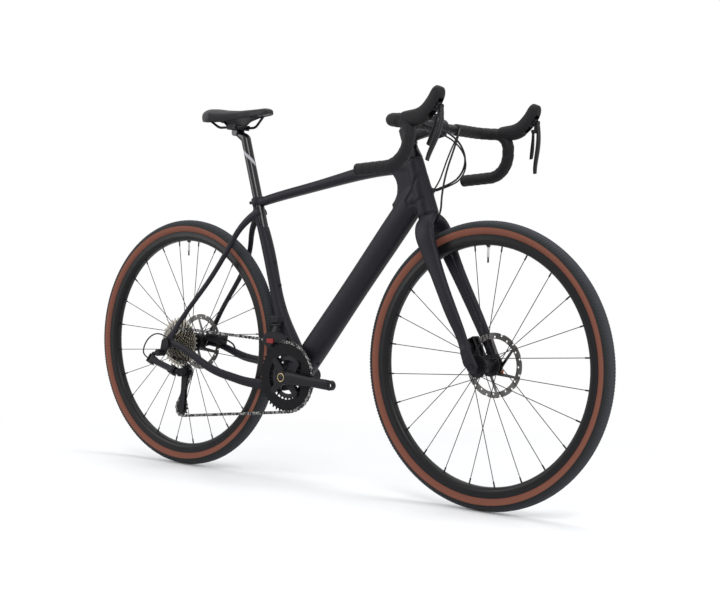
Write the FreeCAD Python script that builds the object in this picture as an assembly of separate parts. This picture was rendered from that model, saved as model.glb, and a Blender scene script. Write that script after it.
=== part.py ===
import FreeCAD, Part
import math
import os
from FreeCAD import Rotation, Vector

# A gravel bike in millimetres. X points forward, Y to the left, Z up.
# The origin is on the ground, midway between the two axles.

# Wheels and tyres
wheelbase = 1036.0
tyre_radius = 352.0
tyre_width = 40.0
tyre_wall = 3.5
bead_seat_radius = 311.0
bead_width = 3.0
rim_edge_radius = 317.4
rim_inner_radius = 292.0
rim_width = 29.0
rim_hook = 3.0
rim_wall = 2.2
rim_crown_half = 4.0
spoke_count = 24
spoke_radius = 1.0
nipple_radius = 2.0
nipple_length = 13.0
nipple_seat_gap = 0.45
spoke_rim_offset = 2.0
valve_radius = 3.0
valve_length = 42.0
flange_radius = 27.0
flange_thickness = 3.0
spoke_circle = 22.0
hub_body_radius = 15.5
axle_radius = 6.0
axle_sleeve_radius = 8.5
end_cap_radius = 11.0
end_cap_length = 3.0
front_hub_width = 100.0
rear_hub_width = 142.0
front_left_flange = 22.0
front_right_flange = 34.0
rear_left_flange = 32.0
rear_right_flange = 20.0

# Brakes
rotor_radius = 80.0
rotor_thickness = 1.8
rotor_band = 15.0
rotor_arms = 6
rotor_bore = 17.0
front_rotor_y = 39.0
rear_rotor_y = 55.0
pad_thickness = 4.0
pad_gap = 0.4
caliper_length = 62.0
caliper_height = 27.0
caliper_inner_wall = 8.0
caliper_outer_wall = 9.0

# Drive train
chain_pitch = 12.7
chain_roller_radius = 3.85
chain_inner_gap = 2.3
chain_plate = 0.75
chain_plate_height = 8.4
outer_ring_teeth = 46
inner_ring_teeth = 30
ring_spacing = 7.0
cassette_teeth = (11, 13, 15, 17, 19, 21, 23, 25, 27, 30, 34)
sprocket_pitch = 3.74
smallest_sprocket_y = -66.5
chain_sprocket = 21
tooth_thickness = 1.6
pulley_teeth = 11
pulley_thickness = 2.0
freehub_radius = 17.4
crank_length = 172.5
crank_tilt = -2.8
spindle_radius = 12.0
bottom_bracket_drop = 68.0
chainstay_length = 438.0
bottom_bracket_width = 86.0
bottom_bracket_bore = 20.5
pedal_hole_radius = 7.0
seat_clearance = 0.2
tooth_tip_half = 0.9
guide_forward = 50.0
guide_below = 81.0
cage_length = 104.0
cage_hang = -95.0
ring_plate = 3.0
outer_bolt_circle = 55.0
inner_bolt_circle = 40.0
outer_ring_core = 60.0
inner_ring_core = 45.0
ring_bolt_radius = 3.5
spider_angles = (45, 135, 225, 315)
spider_thickness = 5.0
crank_boss_radius = 20.0
hanger_thickness = 6.5
hanger_back = 10.0
hanger_drop = 28.0
hanger_bolt_radius = 5.0
link_barrel_radius = 5.0
link_pin_radius = 2.0
link_half_gap = 8.0
link_half_height = 9.0
cage_plate = 2.0
cage_inside = 3.4
cage_pin_radius = 2.5
cage_pivot_radius = 4.0
pulley_tooth_height = 2.0
link_root_offset = Vector(-39.5, -95.3, -50)
link_foot_to_tip = Vector(66, 16, -25)
slant = 0.45
shifter_height = 136.0
shifter_block_rise = 6.0

# Frame and fork
head_angle = 70.5
fork_rake = 50.0
head_tube_bottom = 715.0
head_tube_top = 858.0
head_bottom_radius = 27.8
head_top_radius = 23.0
upper_bearing_radius = 20.9
lower_bearing_radius = 26.0
bearing_height = 7.0
steerer_radius = 14.3
crown_race_radius = 19.8
seat_angle = 73.0
seat_axis_offset = 18.0
seat_tube_top = 766.0
seat_tube_radius = 16.8
post_radius = 13.6
post_top = 944.0
post_insert = 130.0
dropout_thickness = 9.0
front_dropout_thickness = 11.0
leg_foot = Vector(-20, 0, 33)
leg_knee = Vector(-60, 0, 113)
leg_foot_half = 15.0
leg_knee_half = 17.0

# Cockpit
bar_x = 355.0
bar_z = 935.0
bar_radius = 11.9
bar_clamp_radius = 15.9
bar_wall = 2.0
bar_half_width = 205.0
bar_reach = 75.0
bar_drop = 119.0
bar_end_x = 286.0
bar_flare = 16.0
tape_radius = 15.2
stem_drop_angle = 6.0
stem_clamp_height = 42.0
cone_height = 22.0
bar_bends = [36.0, 38.0, 64.0]
stem_clamp_half = 22.0
stem_bolt_radius = 2.5
faceplate_gap = 1.2
tape_start = 78.0
hood_wall = 2.6
lever_pin_radius = 2.5
lever_reach = 130.0

# Saddle
saddle_length = 250.0
saddle_width = 146.0
saddle_rear_x = -455.0
saddle_top = 1014.0
saddle_thickness = 46.0
rail_radius = 3.5
rail_spacing = 44.0
rail_rise = 14.0
post_setback = 26.0
cradle_radius = 10.0
clamp_split = 0.6

# Hoses and cables
hose_radius = 2.5
housing_radius = 2.0
cable_radius = 0.9

# Fits
running_fit = 0.05
close_fit = 0.03
free_gap = 0.3

# Places worked out from the sizes above
rear_axle = Vector(-wheelbase / 2, 0, tyre_radius)
front_axle = Vector(wheelbase / 2, 0, tyre_radius)
crank_z = tyre_radius - bottom_bracket_drop
crank_x = rear_axle.x + math.sqrt(chainstay_length ** 2 - bottom_bracket_drop ** 2)
crank_axis = Vector(crank_x, 0, crank_z)
chain_y = smallest_sprocket_y + sprocket_pitch * cassette_teeth.index(chain_sprocket)
inner_ring_y = chain_y + ring_spacing
steer_up = Vector(-math.cos(math.radians(head_angle)), 0, math.sin(math.radians(head_angle)))
steer_forward = Vector(steer_up.z, 0, -steer_up.x)
steer_foot = front_axle - steer_forward * fork_rake
seat_up = Vector(-math.cos(math.radians(seat_angle)), 0, math.sin(math.radians(seat_angle)))
seat_foot = Vector(crank_x - seat_axis_offset, 0, crank_z)
Y_AXIS = Vector(0, 1, 0)


def on_steering_axis(height):
    """Point of the steering axis at a height above the ground."""
    return steer_foot + steer_up * ((height - steer_foot.z) / steer_up.z)


def on_seat_axis(height):
    """Point of the seat tube's axis at a height above the ground."""
    return seat_foot + seat_up * ((height - seat_foot.z) / seat_up.z)


def mirrored(shape):
    """The same shape on the other side of the bike."""
    return shape.mirror(Vector(0, 0, 0), Y_AXIS)


def cylinder(start, end, radius):
    """Round bar between two points."""
    axis = end - start
    return Part.makeCylinder(radius, axis.Length, start, axis)


def pipe(start, end, outer, inner):
    """Round tube between two points."""
    return cylinder(start, end, outer).cut(cylinder(start, end, inner))


def disc(centre, y_low, y_high, radius):
    """Round bar along Y at a centre in the side view."""
    return cylinder(Vector(centre.x, y_low, centre.z), Vector(centre.x, y_high, centre.z), radius)


def trace(place, start, steps):
    """Wire through flat points; a step that is a pair of points is an arc by its first point."""
    edges = []
    here = place(*start)
    for step in steps:
        if isinstance(step[0], tuple):
            end = place(*step[1])
            edges.append(Part.Arc(here, place(*step[0]), end).toShape())
        else:
            end = place(*step)
            edges.append(Part.makeLine(here, end))
        here = end
    return Part.Wire(edges)


def spun(centre, start, steps, hollow=None):
    """Solid of revolution about a wheel's axle from a (y, radius) outline."""
    wires = [trace(lambda y, r: Vector(0, y, r), start, steps)]
    if hollow:
        wires.append(trace(lambda y, r: Vector(0, y, r), hollow[0], hollow[1]))
    solid = Part.Face(wires).revolve(Vector(0, 0, 0), Y_AXIS, 360)
    return solid.translated(centre)


def plate(start, steps, y_low, y_high):
    """Flat plate cut to a side-view (x, z) outline between two Y planes."""
    face = Part.Face(trace(lambda x, z: Vector(x, y_low, z), start, steps))
    return face.extrude(Vector(0, y_high - y_low, 0))


def link_plate(points, radii, y_low, y_high):
    """Flat plate of round ends joined by straight sides, through side-view points."""
    pieces = []
    for (start, end), (small, large) in zip(zip(points, points[1:]), zip(radii, radii[1:])):
        span = Vector(end[0] - start[0], 0, end[1] - start[1])
        lean = math.asin((small - large) / span.Length)
        heading = math.atan2(span.z, span.x)
        corners = []
        for centre, radius, sign in ((start, small, 1), (end, large, 1), (end, large, -1),
                                     (start, small, -1)):
            angle = heading + sign * (math.pi / 2 - lean)
            corners.append((centre[0] + radius * math.cos(angle), centre[1] + radius * math.sin(angle)))
        pieces.append(plate(corners[0], corners[1:] + corners[:1], y_low, y_high))
    for (x, z), radius in zip(points, radii):
        pieces.append(disc(Vector(x, 0, z), y_low, y_high, radius))
    return pieces[0].fuse(pieces[1:]).removeSplitter()


def oval(centre, side, up, half_side, half_up, power):
    """Closed smooth section between an ellipse (power 2) and a rounded box."""
    points = []
    for step in range(16):
        angle = 2 * math.pi * (step + 0.5) / 16
        across = math.copysign(abs(math.cos(angle)) ** (2 / power), math.cos(angle))
        height = math.copysign(abs(math.sin(angle)) ** (2 / power), math.sin(angle))
        points.append(centre + side * (half_side * across) + up * (half_up * height))
    curve = Part.BSplineCurve()
    curve.interpolate(Points=points, PeriodicFlag=True)
    return Part.Wire([curve.toShape()])


def limb(stations, power=2.4):
    """Smooth tube lofted through (x, y, z, half width across Y, half depth) stations."""
    centres = [Vector(*station[:3]) for station in stations]
    wires = []
    for index, station in enumerate(stations):
        ahead = centres[min(index + 1, len(centres) - 1)]
        behind = centres[max(index - 1, 0)]
        heading = (ahead - behind).normalize()
        side = (Y_AXIS - heading * heading.y).normalize()
        wires.append(oval(centres[index], side, heading.cross(side), station[3], station[4], power))
    return Part.makeLoft(wires, True, False)


def rounded_path(points, radii):
    """Straight runs joined by tangent arcs; one radius for each inner corner."""
    edges = []
    here = points[0]
    for before, corner, after, radius in zip(points, points[1:], points[2:], radii):
        back = (before - corner).normalize()
        onward = (after - corner).normalize()
        half_turn = (math.pi - back.getAngle(onward)) / 2
        reach = radius * math.tan(half_turn)
        arc_start = corner + back * reach
        arc_end = corner + onward * reach
        inward = (back + onward).normalize()
        middle = corner + inward * (radius / math.cos(half_turn) - radius)
        if (arc_start - here).Length > 1e-6:
            edges.append(Part.makeLine(here, arc_start))
        edges.append(Part.Arc(arc_start, middle, arc_end).toShape())
        here = arc_end
    edges.append(Part.makeLine(here, points[-1]))
    return Part.Wire(edges)


def largest_radii(points, share=0.45):
    """Largest arc at each inner corner that its two runs allow."""
    radii = []
    for before, corner, after in zip(points, points[1:], points[2:]):
        turn = (corner - before).getAngle(after - corner)
        run = min((corner - before).Length, (after - corner).Length)
        radii.append(share * run / math.tan(turn / 2))
    return radii


def swept(path, radius):
    """Round rod along a path of lines and arcs."""
    first = path.OrderedEdges[0]
    start = first.valueAt(first.FirstParameter)
    circle = Part.Wire([Part.makeCircle(radius, start, first.tangentAt(first.FirstParameter))])
    return path.makePipeShell([circle], True, False)


def cord(name, points, radius):
    """Hose or cable with the largest bends that its route allows."""
    radii = largest_radii(points)
    path = rounded_path(points, radii)
    rod = swept(path, radius)
    wanted = path.Length * math.pi * radius ** 2
    print(name, "length %.0f" % path.Length, "least bend %.0f" % min(radii),
          "volume ratio %.4f" % (rod.Volume / wanted))
    return rod


def save(name, *pieces):
    """Write one named sub-part as its separate solids."""
    solids = [solid for piece in pieces for solid in piece.Solids]
    shape = solids[0] if len(solids) == 1 else Part.makeCompound(solids)
    shape.exportStep("parts/" + name + ".step")


def make_tyre(centre):
    """Hollow tyre with two beads that stand inside the rim's hooks."""
    half = tyre_width / 2
    middle = tyre_radius - half
    inner = half - tyre_wall
    bead_out = rim_width / 2 - rim_hook - free_gap
    bead_in = bead_out - bead_width
    foot = bead_seat_radius + 1.0 + free_gap
    wall_out = bead_out + rim_hook - free_gap
    skirt = middle - math.sqrt(half ** 2 - wall_out ** 2)
    cavity = middle - math.sqrt(inner ** 2 - bead_in ** 2)
    return spun(centre, (-wall_out, skirt), [
        ((0, tyre_radius), (wall_out, skirt)), (bead_out, skirt), (bead_out, foot), (bead_in, foot),
        (bead_in, cavity), ((0, tyre_radius - tyre_wall), (-bead_in, cavity)), (-bead_in, foot),
        (-bead_out, foot), (-bead_out, skirt), (-wall_out, skirt)])


def make_rim(centre):
    """Hollow rim with bead hooks, a centre channel and a rounded spoke bed."""
    half = rim_width / 2
    hook = half - rim_hook
    bed = bead_seat_radius
    channel = bed - 3.0
    shoulder = rim_edge_radius - 9.0
    bulge = (half - 1.6, rim_inner_radius + 5.5)
    outline = [(-half, shoulder), (-half, rim_edge_radius), (-hook, rim_edge_radius), (-hook, bed),
               (-6.0, bed), (-4.5, channel), (4.5, channel), (6.0, bed), (hook, bed),
               (hook, rim_edge_radius), (half, rim_edge_radius), (half, shoulder),
               (bulge, (rim_crown_half, rim_inner_radius)), (-rim_crown_half, rim_inner_radius),
               ((-bulge[0], bulge[1]), (-half, shoulder))]
    inside = half - rim_wall
    roof = channel - rim_wall
    floor = rim_inner_radius + rim_wall
    hollow = ((-inside, roof), [(inside, roof), (inside, shoulder - 1.0),
                                (rim_crown_half + 2.0, floor), (-rim_crown_half - 2.0, floor),
                                (-inside, shoulder - 1.0), (-inside, roof)])
    return spun(centre, outline[0], outline[1:], hollow)


def spoke_lines(centre, left_flange, right_flange):
    """Elbow, tip and tail of each spoke; the top of the wheel stays free for the valve."""
    lines = []
    per_side = spoke_count // 2
    step = 2 * math.pi / per_side
    lift = flange_thickness / 2 + spoke_radius + running_fit
    tip_radius = rim_inner_radius - nipple_seat_gap
    for side, flange in ((1, left_flange), (-1, right_flange)):
        for index in range(per_side):
            outside = index % 2 == 0
            lead = 2 * step if outside else -2 * step
            hub_angle = (index + 0.5 - side * 0.25) * step
            rim_angle = hub_angle + lead
            elbow = Vector(spoke_circle * math.sin(hub_angle), side * (flange + (lift if outside else -lift)),
                           spoke_circle * math.cos(hub_angle))
            tip = Vector(tip_radius * math.sin(rim_angle), side * spoke_rim_offset,
                         tip_radius * math.cos(rim_angle))
            tail = Vector(elbow.x, side * (flange + (-lift if outside else lift)), elbow.z)
            lines.append((centre + elbow, centre + tip, centre + tail))
    return lines


def bent_spoke(elbow, tip, tail, radius):
    """One spoke with its round elbow, or the room for it."""
    straight = cylinder(elbow, tip, radius)
    return straight.fuse([Part.makeSphere(radius, elbow), cylinder(elbow, tail, radius)])


def make_spokes(centre, left_flange, right_flange):
    """Crossed spokes with elbows in the hub flanges, and their nipples at the rim."""
    pieces = []
    for elbow, tip, tail in spoke_lines(centre, left_flange, right_flange):
        heading = (tip - elbow).normalize()
        pieces.append(bent_spoke(elbow, tip, tail, spoke_radius))
        pieces.append(pipe(tip - heading * nipple_length, tip, nipple_radius, spoke_radius + close_fit))
    return pieces


def make_hub(centre, left_flange, right_flange, rotor_y, right_end):
    """Hub shell with drilled flanges, a splined rotor boss and its two bearings."""
    half = flange_thickness / 2
    bearing_out = hub_body_radius - 2.5
    bore = axle_sleeve_radius + 1.0
    left_end = rotor_y + rotor_thickness / 2 + 1.0
    shell = spun(centre, (-right_end, bore), [
        (-right_end, hub_body_radius), (-right_flange - half, hub_body_radius),
        (-right_flange - half, flange_radius), (-right_flange + half, flange_radius),
        (-right_flange + half, hub_body_radius), (left_flange - half, hub_body_radius),
        (left_flange - half, flange_radius), (left_flange + half, flange_radius),
        (left_flange + half, rotor_bore), (left_end, rotor_bore), (left_end, bore), (-right_end, bore)])
    holes = []
    for elbow, tip, tail in spoke_lines(centre, left_flange, right_flange):
        near = elbow + (tip - elbow).normalize() * flange_radius
        holes.append(bent_spoke(elbow, near, tail, spoke_radius + running_fit))
    seats = [disc(centre, left_end - bearing_height, left_end, bearing_out + close_fit),
             disc(centre, -right_end, -right_end + bearing_height, bearing_out + close_fit)]
    shell = shell.cut(holes + seats)
    bearings = []
    for low in (left_end - bearing_height, -right_end):
        bearings.append(disc(centre, low, low + bearing_height, bearing_out)
                        .cut(disc(centre, low, low + bearing_height, axle_sleeve_radius + running_fit)))
    return [shell] + bearings


def make_axle(centre, width, left_reach, right_reach):
    """Thru axle with its head, and the hub's fixed sleeve with end caps."""
    half = width / 2
    rod = disc(centre, -right_reach, left_reach, axle_radius)
    head = disc(centre, left_reach, left_reach + 5.0, axle_radius + 3.0)
    socket = disc(centre, left_reach, left_reach + 5.0, 3.0)
    sleeve = spun(centre, (-half, axle_radius + running_fit), [
        (-half, end_cap_radius), (-half + end_cap_length, end_cap_radius),
        (-half + end_cap_length, axle_sleeve_radius), (half - end_cap_length, axle_sleeve_radius),
        (half - end_cap_length, end_cap_radius), (half, end_cap_radius),
        (half, axle_radius + running_fit), (-half, axle_radius + running_fit)])
    return rod.fuse(head).cut(socket), sleeve


def make_rotor(centre, y_middle):
    """Brake disc: drilled band, swept arms, splined carrier and lock ring."""
    low = y_middle - rotor_thickness / 2
    high = y_middle + rotor_thickness / 2
    band_inner = rotor_radius - rotor_band
    carrier = rotor_bore + 8.0
    band = disc(centre, low, high, rotor_radius).cut(disc(centre, low, high, band_inner))
    slots = []
    for index in range(rotor_arms * 4):
        angle = 2 * math.pi * index / (rotor_arms * 4)
        spread = 2.6 if index % 2 else -2.6
        spot = rotor_radius - rotor_band / 2 + spread
        place = centre + Vector(spot * math.cos(angle), 0, spot * math.sin(angle))
        slots.append(disc(place, low, high, 2.6))
    scallops = []
    for index in range(rotor_arms * 2):
        angle = 2 * math.pi * (index + 0.5) / (rotor_arms * 2)
        reach = rotor_radius + 10.0
        place = centre + Vector(reach * math.cos(angle), 0, reach * math.sin(angle))
        scallops.append(disc(place, low, high, 12.0))
    band = band.cut(slots + scallops)
    arms = [disc(centre, low, high, carrier)]
    for index in range(rotor_arms):
        root = 2 * math.pi * index / rotor_arms
        tip = root + math.radians(38)
        near = carrier * 0.9
        far = band_inner + 3.0
        arms.append(link_plate([(centre.x + near * math.cos(root), centre.z + near * math.sin(root)),
                                (centre.x + far * math.cos(tip), centre.z + far * math.sin(tip))],
                               [4.0, 3.0], low, high))
    rotor = band.fuse(arms).cut(disc(centre, low, high, rotor_bore + close_fit))
    ring = disc(centre, high, high + 3.0, rotor_bore + 3.0)
    ring = ring.cut(disc(centre, high, high + 3.0, rotor_bore + close_fit))
    return [rotor, ring]


def make_valve(centre):
    """Valve stem that stands in from the rim towards the hub."""
    foot = centre + Vector(0, 0, rim_inner_radius - free_gap)
    neck = foot - Vector(0, 0, valve_length * 0.7)
    tip = foot - Vector(0, 0, valve_length)
    nut = cylinder(foot, foot - Vector(0, 0, 3.0), valve_radius * 1.8)
    return cylinder(foot, neck, valve_radius).fuse([cylinder(neck, tip, valve_radius * 0.75), nut])


def make_wheel(prefix, centre, left_flange, right_flange, rotor_y, right_end):
    """Save the five nodes of one wheel."""
    save(prefix + "_tyre", make_tyre(centre))
    save(prefix + "_rim", make_rim(centre), make_valve(centre))
    save(prefix + "_spokes", *make_spokes(centre, left_flange, right_flange))
    save(prefix + "_hub", *make_hub(centre, left_flange, right_flange, rotor_y, right_end))
    save(prefix + "_rotor", *make_rotor(centre, rotor_y))


def along(start, end, share, lift=0.0):
    """Point on a straight line between two places, raised by a small arch."""
    return start + (end - start) * share + Vector(0, 0, lift)


def station(place, half_width, half_depth):
    """One loft station at a place on the centre plane."""
    return (place.x, place.y, place.z, half_width, half_depth)


def make_front_triangle():
    """Head tube, top tube, down tube and seat tube with their curved corners."""
    head_low = on_steering_axis(head_tube_bottom)
    head_high = on_steering_axis(head_tube_top)
    head_length = (head_high - head_low).Length
    head = Part.makeCone(head_bottom_radius, head_top_radius, head_length, head_low, steer_up)
    down_start = crank_axis + Vector(0, 0, 4.0)
    down_end = on_steering_axis((head_tube_bottom + head_tube_top) / 2 - 4.0)
    down_tube = limb([station(along(down_start, down_end, share), width, depth)
                      for share, width, depth in ((0.0, 35, 31), (0.12, 31, 34), (0.35, 27.5, 33.5),
                                                  (0.65, 26.5, 33.5), (0.85, 26, 34), (1.0, 19, 34))], 2.6)
    top_start = on_seat_axis(seat_tube_top - 17.0)
    top_end = on_steering_axis(head_tube_top - 21.0)
    top_tube = limb([station(along(top_start, top_end, share, lift), width, depth)
                     for share, lift, width, depth in ((0.0, 1, 14, 12), (0.27, 9, 17.5, 13.2),
                                                       (0.64, 16, 18.5, 16.5), (0.83, 15, 19.5, 19.5),
                                                       (1.0, 0, 18, 20))], 2.5)
    flare = [station(crank_axis + Vector(-8, 0, 10), 34, 31),
             station(on_seat_axis(crank_z + 90.0) + Vector(13, 0, 0), 24, 29),
             station(on_seat_axis(crank_z + 156.0) + Vector(3, 0, 0), 18.5, 20.5)]
    upper = [station(on_seat_axis(height), seat_tube_radius, seat_tube_radius)
             for height in (crank_z + 240.0, seat_tube_top - 110.0, seat_tube_top)]
    seat_tube = limb(flare + upper, 2.1)
    collar = cylinder(on_seat_axis(seat_tube_top - 18.0), on_seat_axis(seat_tube_top),
                      seat_tube_radius + 2.2)
    corner = on_steering_axis(head_tube_top - 70.0)
    web = plate((corner.x - 115, corner.z + 47), [
        (corner.x - 83, corner.z + 32), ((corner.x - 65, corner.z + 2), (corner.x - 81, corner.z - 45)),
        (corner.x - 70, corner.z - 62), (corner.x + 10, corner.z - 20), (corner.x - 10, corner.z + 55),
        (corner.x - 115, corner.z + 47)], -17.0, 17.0)
    return [head, down_tube, top_tube, seat_tube, collar, web]


def make_stays():
    """Dropped right chainstay, straight left chainstay, two seatstays and the dropouts."""
    rear = rear_axle
    drop_y = rear_hub_width / 2 + dropout_thickness / 2
    end_half = dropout_thickness / 2
    right = limb([(crank_x + 4, -26.5, crank_z - 12, 8.5, 20), (crank_x - 55, -27.5, crank_z - 25, 7.5, 17.5),
                  (crank_x - 100, -33, crank_z - 27, 7.5, 15), (crank_x - 140, -41, crank_z - 25, 8, 13.5),
                  (rear.x + 236, -52.5, rear.z - 82, 8, 12.5), (rear.x + 177, -64, rear.z - 66, 8.5, 12),
                  (rear.x + 118, -71.5, rear.z - 38, 7.5, 11.5), (rear.x + 60, -drop_y, rear.z - 10, 5.5, 11),
                  (rear.x + 8, -drop_y, rear.z, end_half, 12)])
    left = limb([(crank_x + 4, 29, crank_z - 4, 10, 19), (crank_x - 60, 29.5, crank_z + 9, 8.5, 15),
                 (crank_x - 115, 37, crank_z + 20, 8.5, 13), (rear.x + 232, 52.5, rear.z - 39, 8, 12),
                 (rear.x + 165, 65, rear.z - 33, 8, 12), (rear.x + 101, 71.5, rear.z - 17, 6.5, 11),
                 (rear.x + 50, drop_y, rear.z - 6, 5, 10.5), (rear.x + 8, drop_y, rear.z, end_half, 12)])
    root = on_seat_axis(seat_tube_top - 36.0)
    pieces = [right, left]
    for side in (1, -1):
        pieces.append(limb([
            (root.x + 10, side * 9, root.z - 1, 7.5, 13), (root.x - 24, side * 14, root.z - 21, 7.5, 11.5),
            (root.x - 54, side * 26, root.z - 55, 7, 9.5), (root.x - 75, side * 42, root.z - 102, 6.5, 8.5),
            (rear.x + 149, side * 57, rear.z + 188, 6, 8), (rear.x + 72, side * 68, rear.z + 96, 5.5, 8),
            (rear.x + 20, side * drop_y, rear.z + 26, end_half, 10),
            (rear.x + 6, side * drop_y, rear.z + 4, end_half, 11)]))
        inner = side * rear_hub_width / 2
        outer = side * (rear_hub_width / 2 + dropout_thickness)
        pieces.append(link_plate([(rear.x, rear.z), (rear.x + 20, rear.z + 26)], [16.0, 10.0],
                                 min(inner, outer), max(inner, outer)))
    return pieces


def make_main_frame():
    """One carbon frame with its bearing seats, seat bore, axle bores and cable port."""
    shell = disc(crank_axis, -bottom_bracket_width / 2, bottom_bracket_width / 2, bottom_bracket_bore + 5.0)
    port = on_steering_axis(head_tube_top - 88.0) + steer_forward * 20.0 + Vector(0, 12, 0)
    port_boss = cylinder(port, port + steer_forward * 9.0 + Vector(0, 5, 2), 6.0)
    pieces = make_front_triangle() + make_stays() + [port_boss]
    frame = shell.fuse(pieces)
    low = on_steering_axis(head_tube_bottom)
    high = on_steering_axis(head_tube_top)
    post_foot = on_seat_axis(seat_tube_top - post_insert - 60.0)
    rear_drop = rear_hub_width / 2 + dropout_thickness
    hub_half = rear_hub_width / 2
    cuts = [cylinder(high, high + steer_up * 60.0, head_top_radius + free_gap),
            disc(rear_axle, -hub_half, hub_half, 2 * end_cap_radius),
            disc(rear_axle, rear_drop, rear_drop + 20.0, 2 * end_cap_radius),
            disc(rear_axle, -rear_drop - 20.0, -rear_drop, 2 * end_cap_radius),
            cylinder(low - steer_up, high + steer_up, steerer_radius + 3.2),
            cylinder(low - steer_up, low + steer_up * bearing_height, lower_bearing_radius + close_fit),
            cylinder(high - steer_up * bearing_height, high + steer_up, upper_bearing_radius + close_fit),
            cylinder(post_foot, on_seat_axis(seat_tube_top + 30.0), post_radius + running_fit),
            disc(crank_axis, -bottom_bracket_width, bottom_bracket_width, bottom_bracket_bore + close_fit),
            disc(rear_axle, -rear_drop - 1, rear_drop + 1, axle_radius + running_fit)]
    return frame.cut(cuts)


def make_frame_bearings():
    """Headset bearing rings and bottom bracket cups."""
    low = on_steering_axis(head_tube_bottom)
    high = on_steering_axis(head_tube_top)
    lower = pipe(low, low + steer_up * bearing_height, lower_bearing_radius,
                 crown_race_radius + running_fit)
    upper = pipe(high - steer_up * bearing_height, high, upper_bearing_radius,
                 steerer_radius + running_fit)
    cups = []
    half = bottom_bracket_width / 2
    for side in (1, -1):
        sleeve = disc(crank_axis, side * (half - 16.0), side * half, bottom_bracket_bore)
        lip = disc(crank_axis, side * half, side * (half + 1.5), bottom_bracket_bore + 2.5)
        hole = disc(crank_axis, side * (half - 16.0), side * (half + 1.5), spindle_radius + running_fit)
        cups.append(sleeve.fuse(lip).cut(hole))
    return [lower, upper] + cups


def make_fork():
    """Carbon fork: steerer, crown race, crown, two bowed legs and the dropouts."""
    crown = on_steering_axis(head_tube_bottom - free_gap)
    stem_top = stem_clamp_centre() + steer_up * (stem_clamp_height / 2 - 2.0)
    axle = front_axle
    drop_y = front_hub_width / 2 + front_dropout_thickness / 2
    end_half = front_dropout_thickness / 2
    steerer = cylinder(crown, stem_top, steerer_radius)
    race = cylinder(crown, crown + steer_up * bearing_height, crown_race_radius)
    block = Part.makeCone(24.0, head_bottom_radius, 15.0, crown - steer_up * 15.0, steer_up)
    foot, knee = axle + leg_foot, axle + leg_knee
    hub_half = front_hub_width / 2
    reach = hub_half + front_dropout_thickness
    trims = [disc(axle, low, high, 2 * end_cap_radius)
             for low, high in ((-hub_half, hub_half), (reach, reach + 20.0), (-reach - 20.0, -reach))]
    trims.append(cylinder(crown, crown + steer_up * 60.0, 3 * head_bottom_radius))
    pieces = [race, block]
    for side in (1, -1):
        leg = limb([
            (crown.x + 4, side * 6, crown.z - 12, 14, 26), (crown.x + 7, side * 22, crown.z - 16, 13.5, 27),
            (crown.x + 14, side * 36, crown.z - 36, 12, 28),
            (crown.x + 32, side * 41.5, crown.z - 78, 11.5, 25),
            (crown.x + 72, side * 46, crown.z - 158, 10.5, 19),
            (knee.x, side * 51, knee.z, 9, leg_knee_half),
            (foot.x, side * drop_y, foot.z, end_half - 0.8, leg_foot_half),
            (axle.x - 4, side * drop_y, axle.z + 3, end_half - 2.2, 13.5)])
        for trim in trims:
            leg = leg.cut(trim)
        pieces.append(leg)
        inner = side * front_hub_width / 2
        outer = side * (front_hub_width / 2 + front_dropout_thickness)
        pieces.append(link_plate([(axle.x, axle.z), (foot.x, foot.z)], [15.0, leg_foot_half - 1.5],
                                 min(inner, outer), max(inner, outer)))
    fork = steerer.fuse(pieces)
    return fork.cut(disc(axle, -reach - 1.0, reach + 1.0, axle_radius + running_fit))


def bar_centre():
    """Middle of the handlebar clamp."""
    return Vector(bar_x, 0, bar_z)


def stem_clamp_centre():
    """Middle of the stem's clamp on the steerer."""
    offset = bar_centre() - steer_foot
    out = offset.dot(steer_forward)
    rise = offset.dot(steer_up) + out * math.tan(math.radians(stem_drop_angle))
    return steer_foot + steer_up * rise


def make_headset_spacers():
    """Tapered headset cone and the spacer between it and the stem."""
    start = on_steering_axis(head_tube_top) + steer_up * free_gap
    finish = stem_clamp_centre() - steer_up * (stem_clamp_height / 2)
    shoulder = start + steer_up * cone_height
    bore = cylinder(start - steer_up, finish + steer_up, steerer_radius + close_fit)
    cone = Part.makeCone(head_top_radius, steerer_radius + 4.5, cone_height, start, steer_up).cut(bore)
    spacer = cylinder(shoulder, finish, steerer_radius + 3.7).cut(bore)
    return [cone, spacer]


def pitch_radius(teeth):
    """Radius of the chain's roller centres on a toothed wheel."""
    return chain_pitch / (2 * math.sin(math.pi / teeth))


def toothed_disc(centre, teeth, phase, y_middle, thickness, tooth_height=2.6):
    """Sprocket blank with round roller seats; one seat stands at the phase angle."""
    radius = pitch_radius(teeth)
    seat = chain_roller_radius + seat_clearance
    tip_offset = chain_pitch / 2 - tooth_tip_half
    spread = math.radians(65)
    outline = []
    for index in range(teeth):
        angle = phase + 2 * math.pi * index / teeth
        out = (math.cos(angle), math.sin(angle))
        over = (-out[1], out[0])
        low, side = -seat * math.cos(spread), seat * math.sin(spread)
        corners = [(tooth_height, -tip_offset), (low, -side), (-seat, 0), (low, side),
                   (tooth_height, tip_offset)]
        marks = [(centre.x + out[0] * (radius + rise) + over[0] * shift,
                  centre.z + out[1] * (radius + rise) + over[1] * shift) for rise, shift in corners]
        outline += [marks[0], marks[1], (marks[2], marks[3]), marks[4]]
    return plate(outline[-1], outline, y_middle - thickness / 2, y_middle + thickness / 2)


def guide_centre():
    """Axis of the guide pulley, below and in front of the rear axle."""
    return rear_axle + Vector(guide_forward, 0, -guide_below)


def tension_centre(cage_angle):
    """Axis of the tension pulley for one angle of the cage."""
    return guide_centre() + Vector(math.cos(cage_angle), 0, math.sin(cage_angle)) * cage_length


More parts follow.
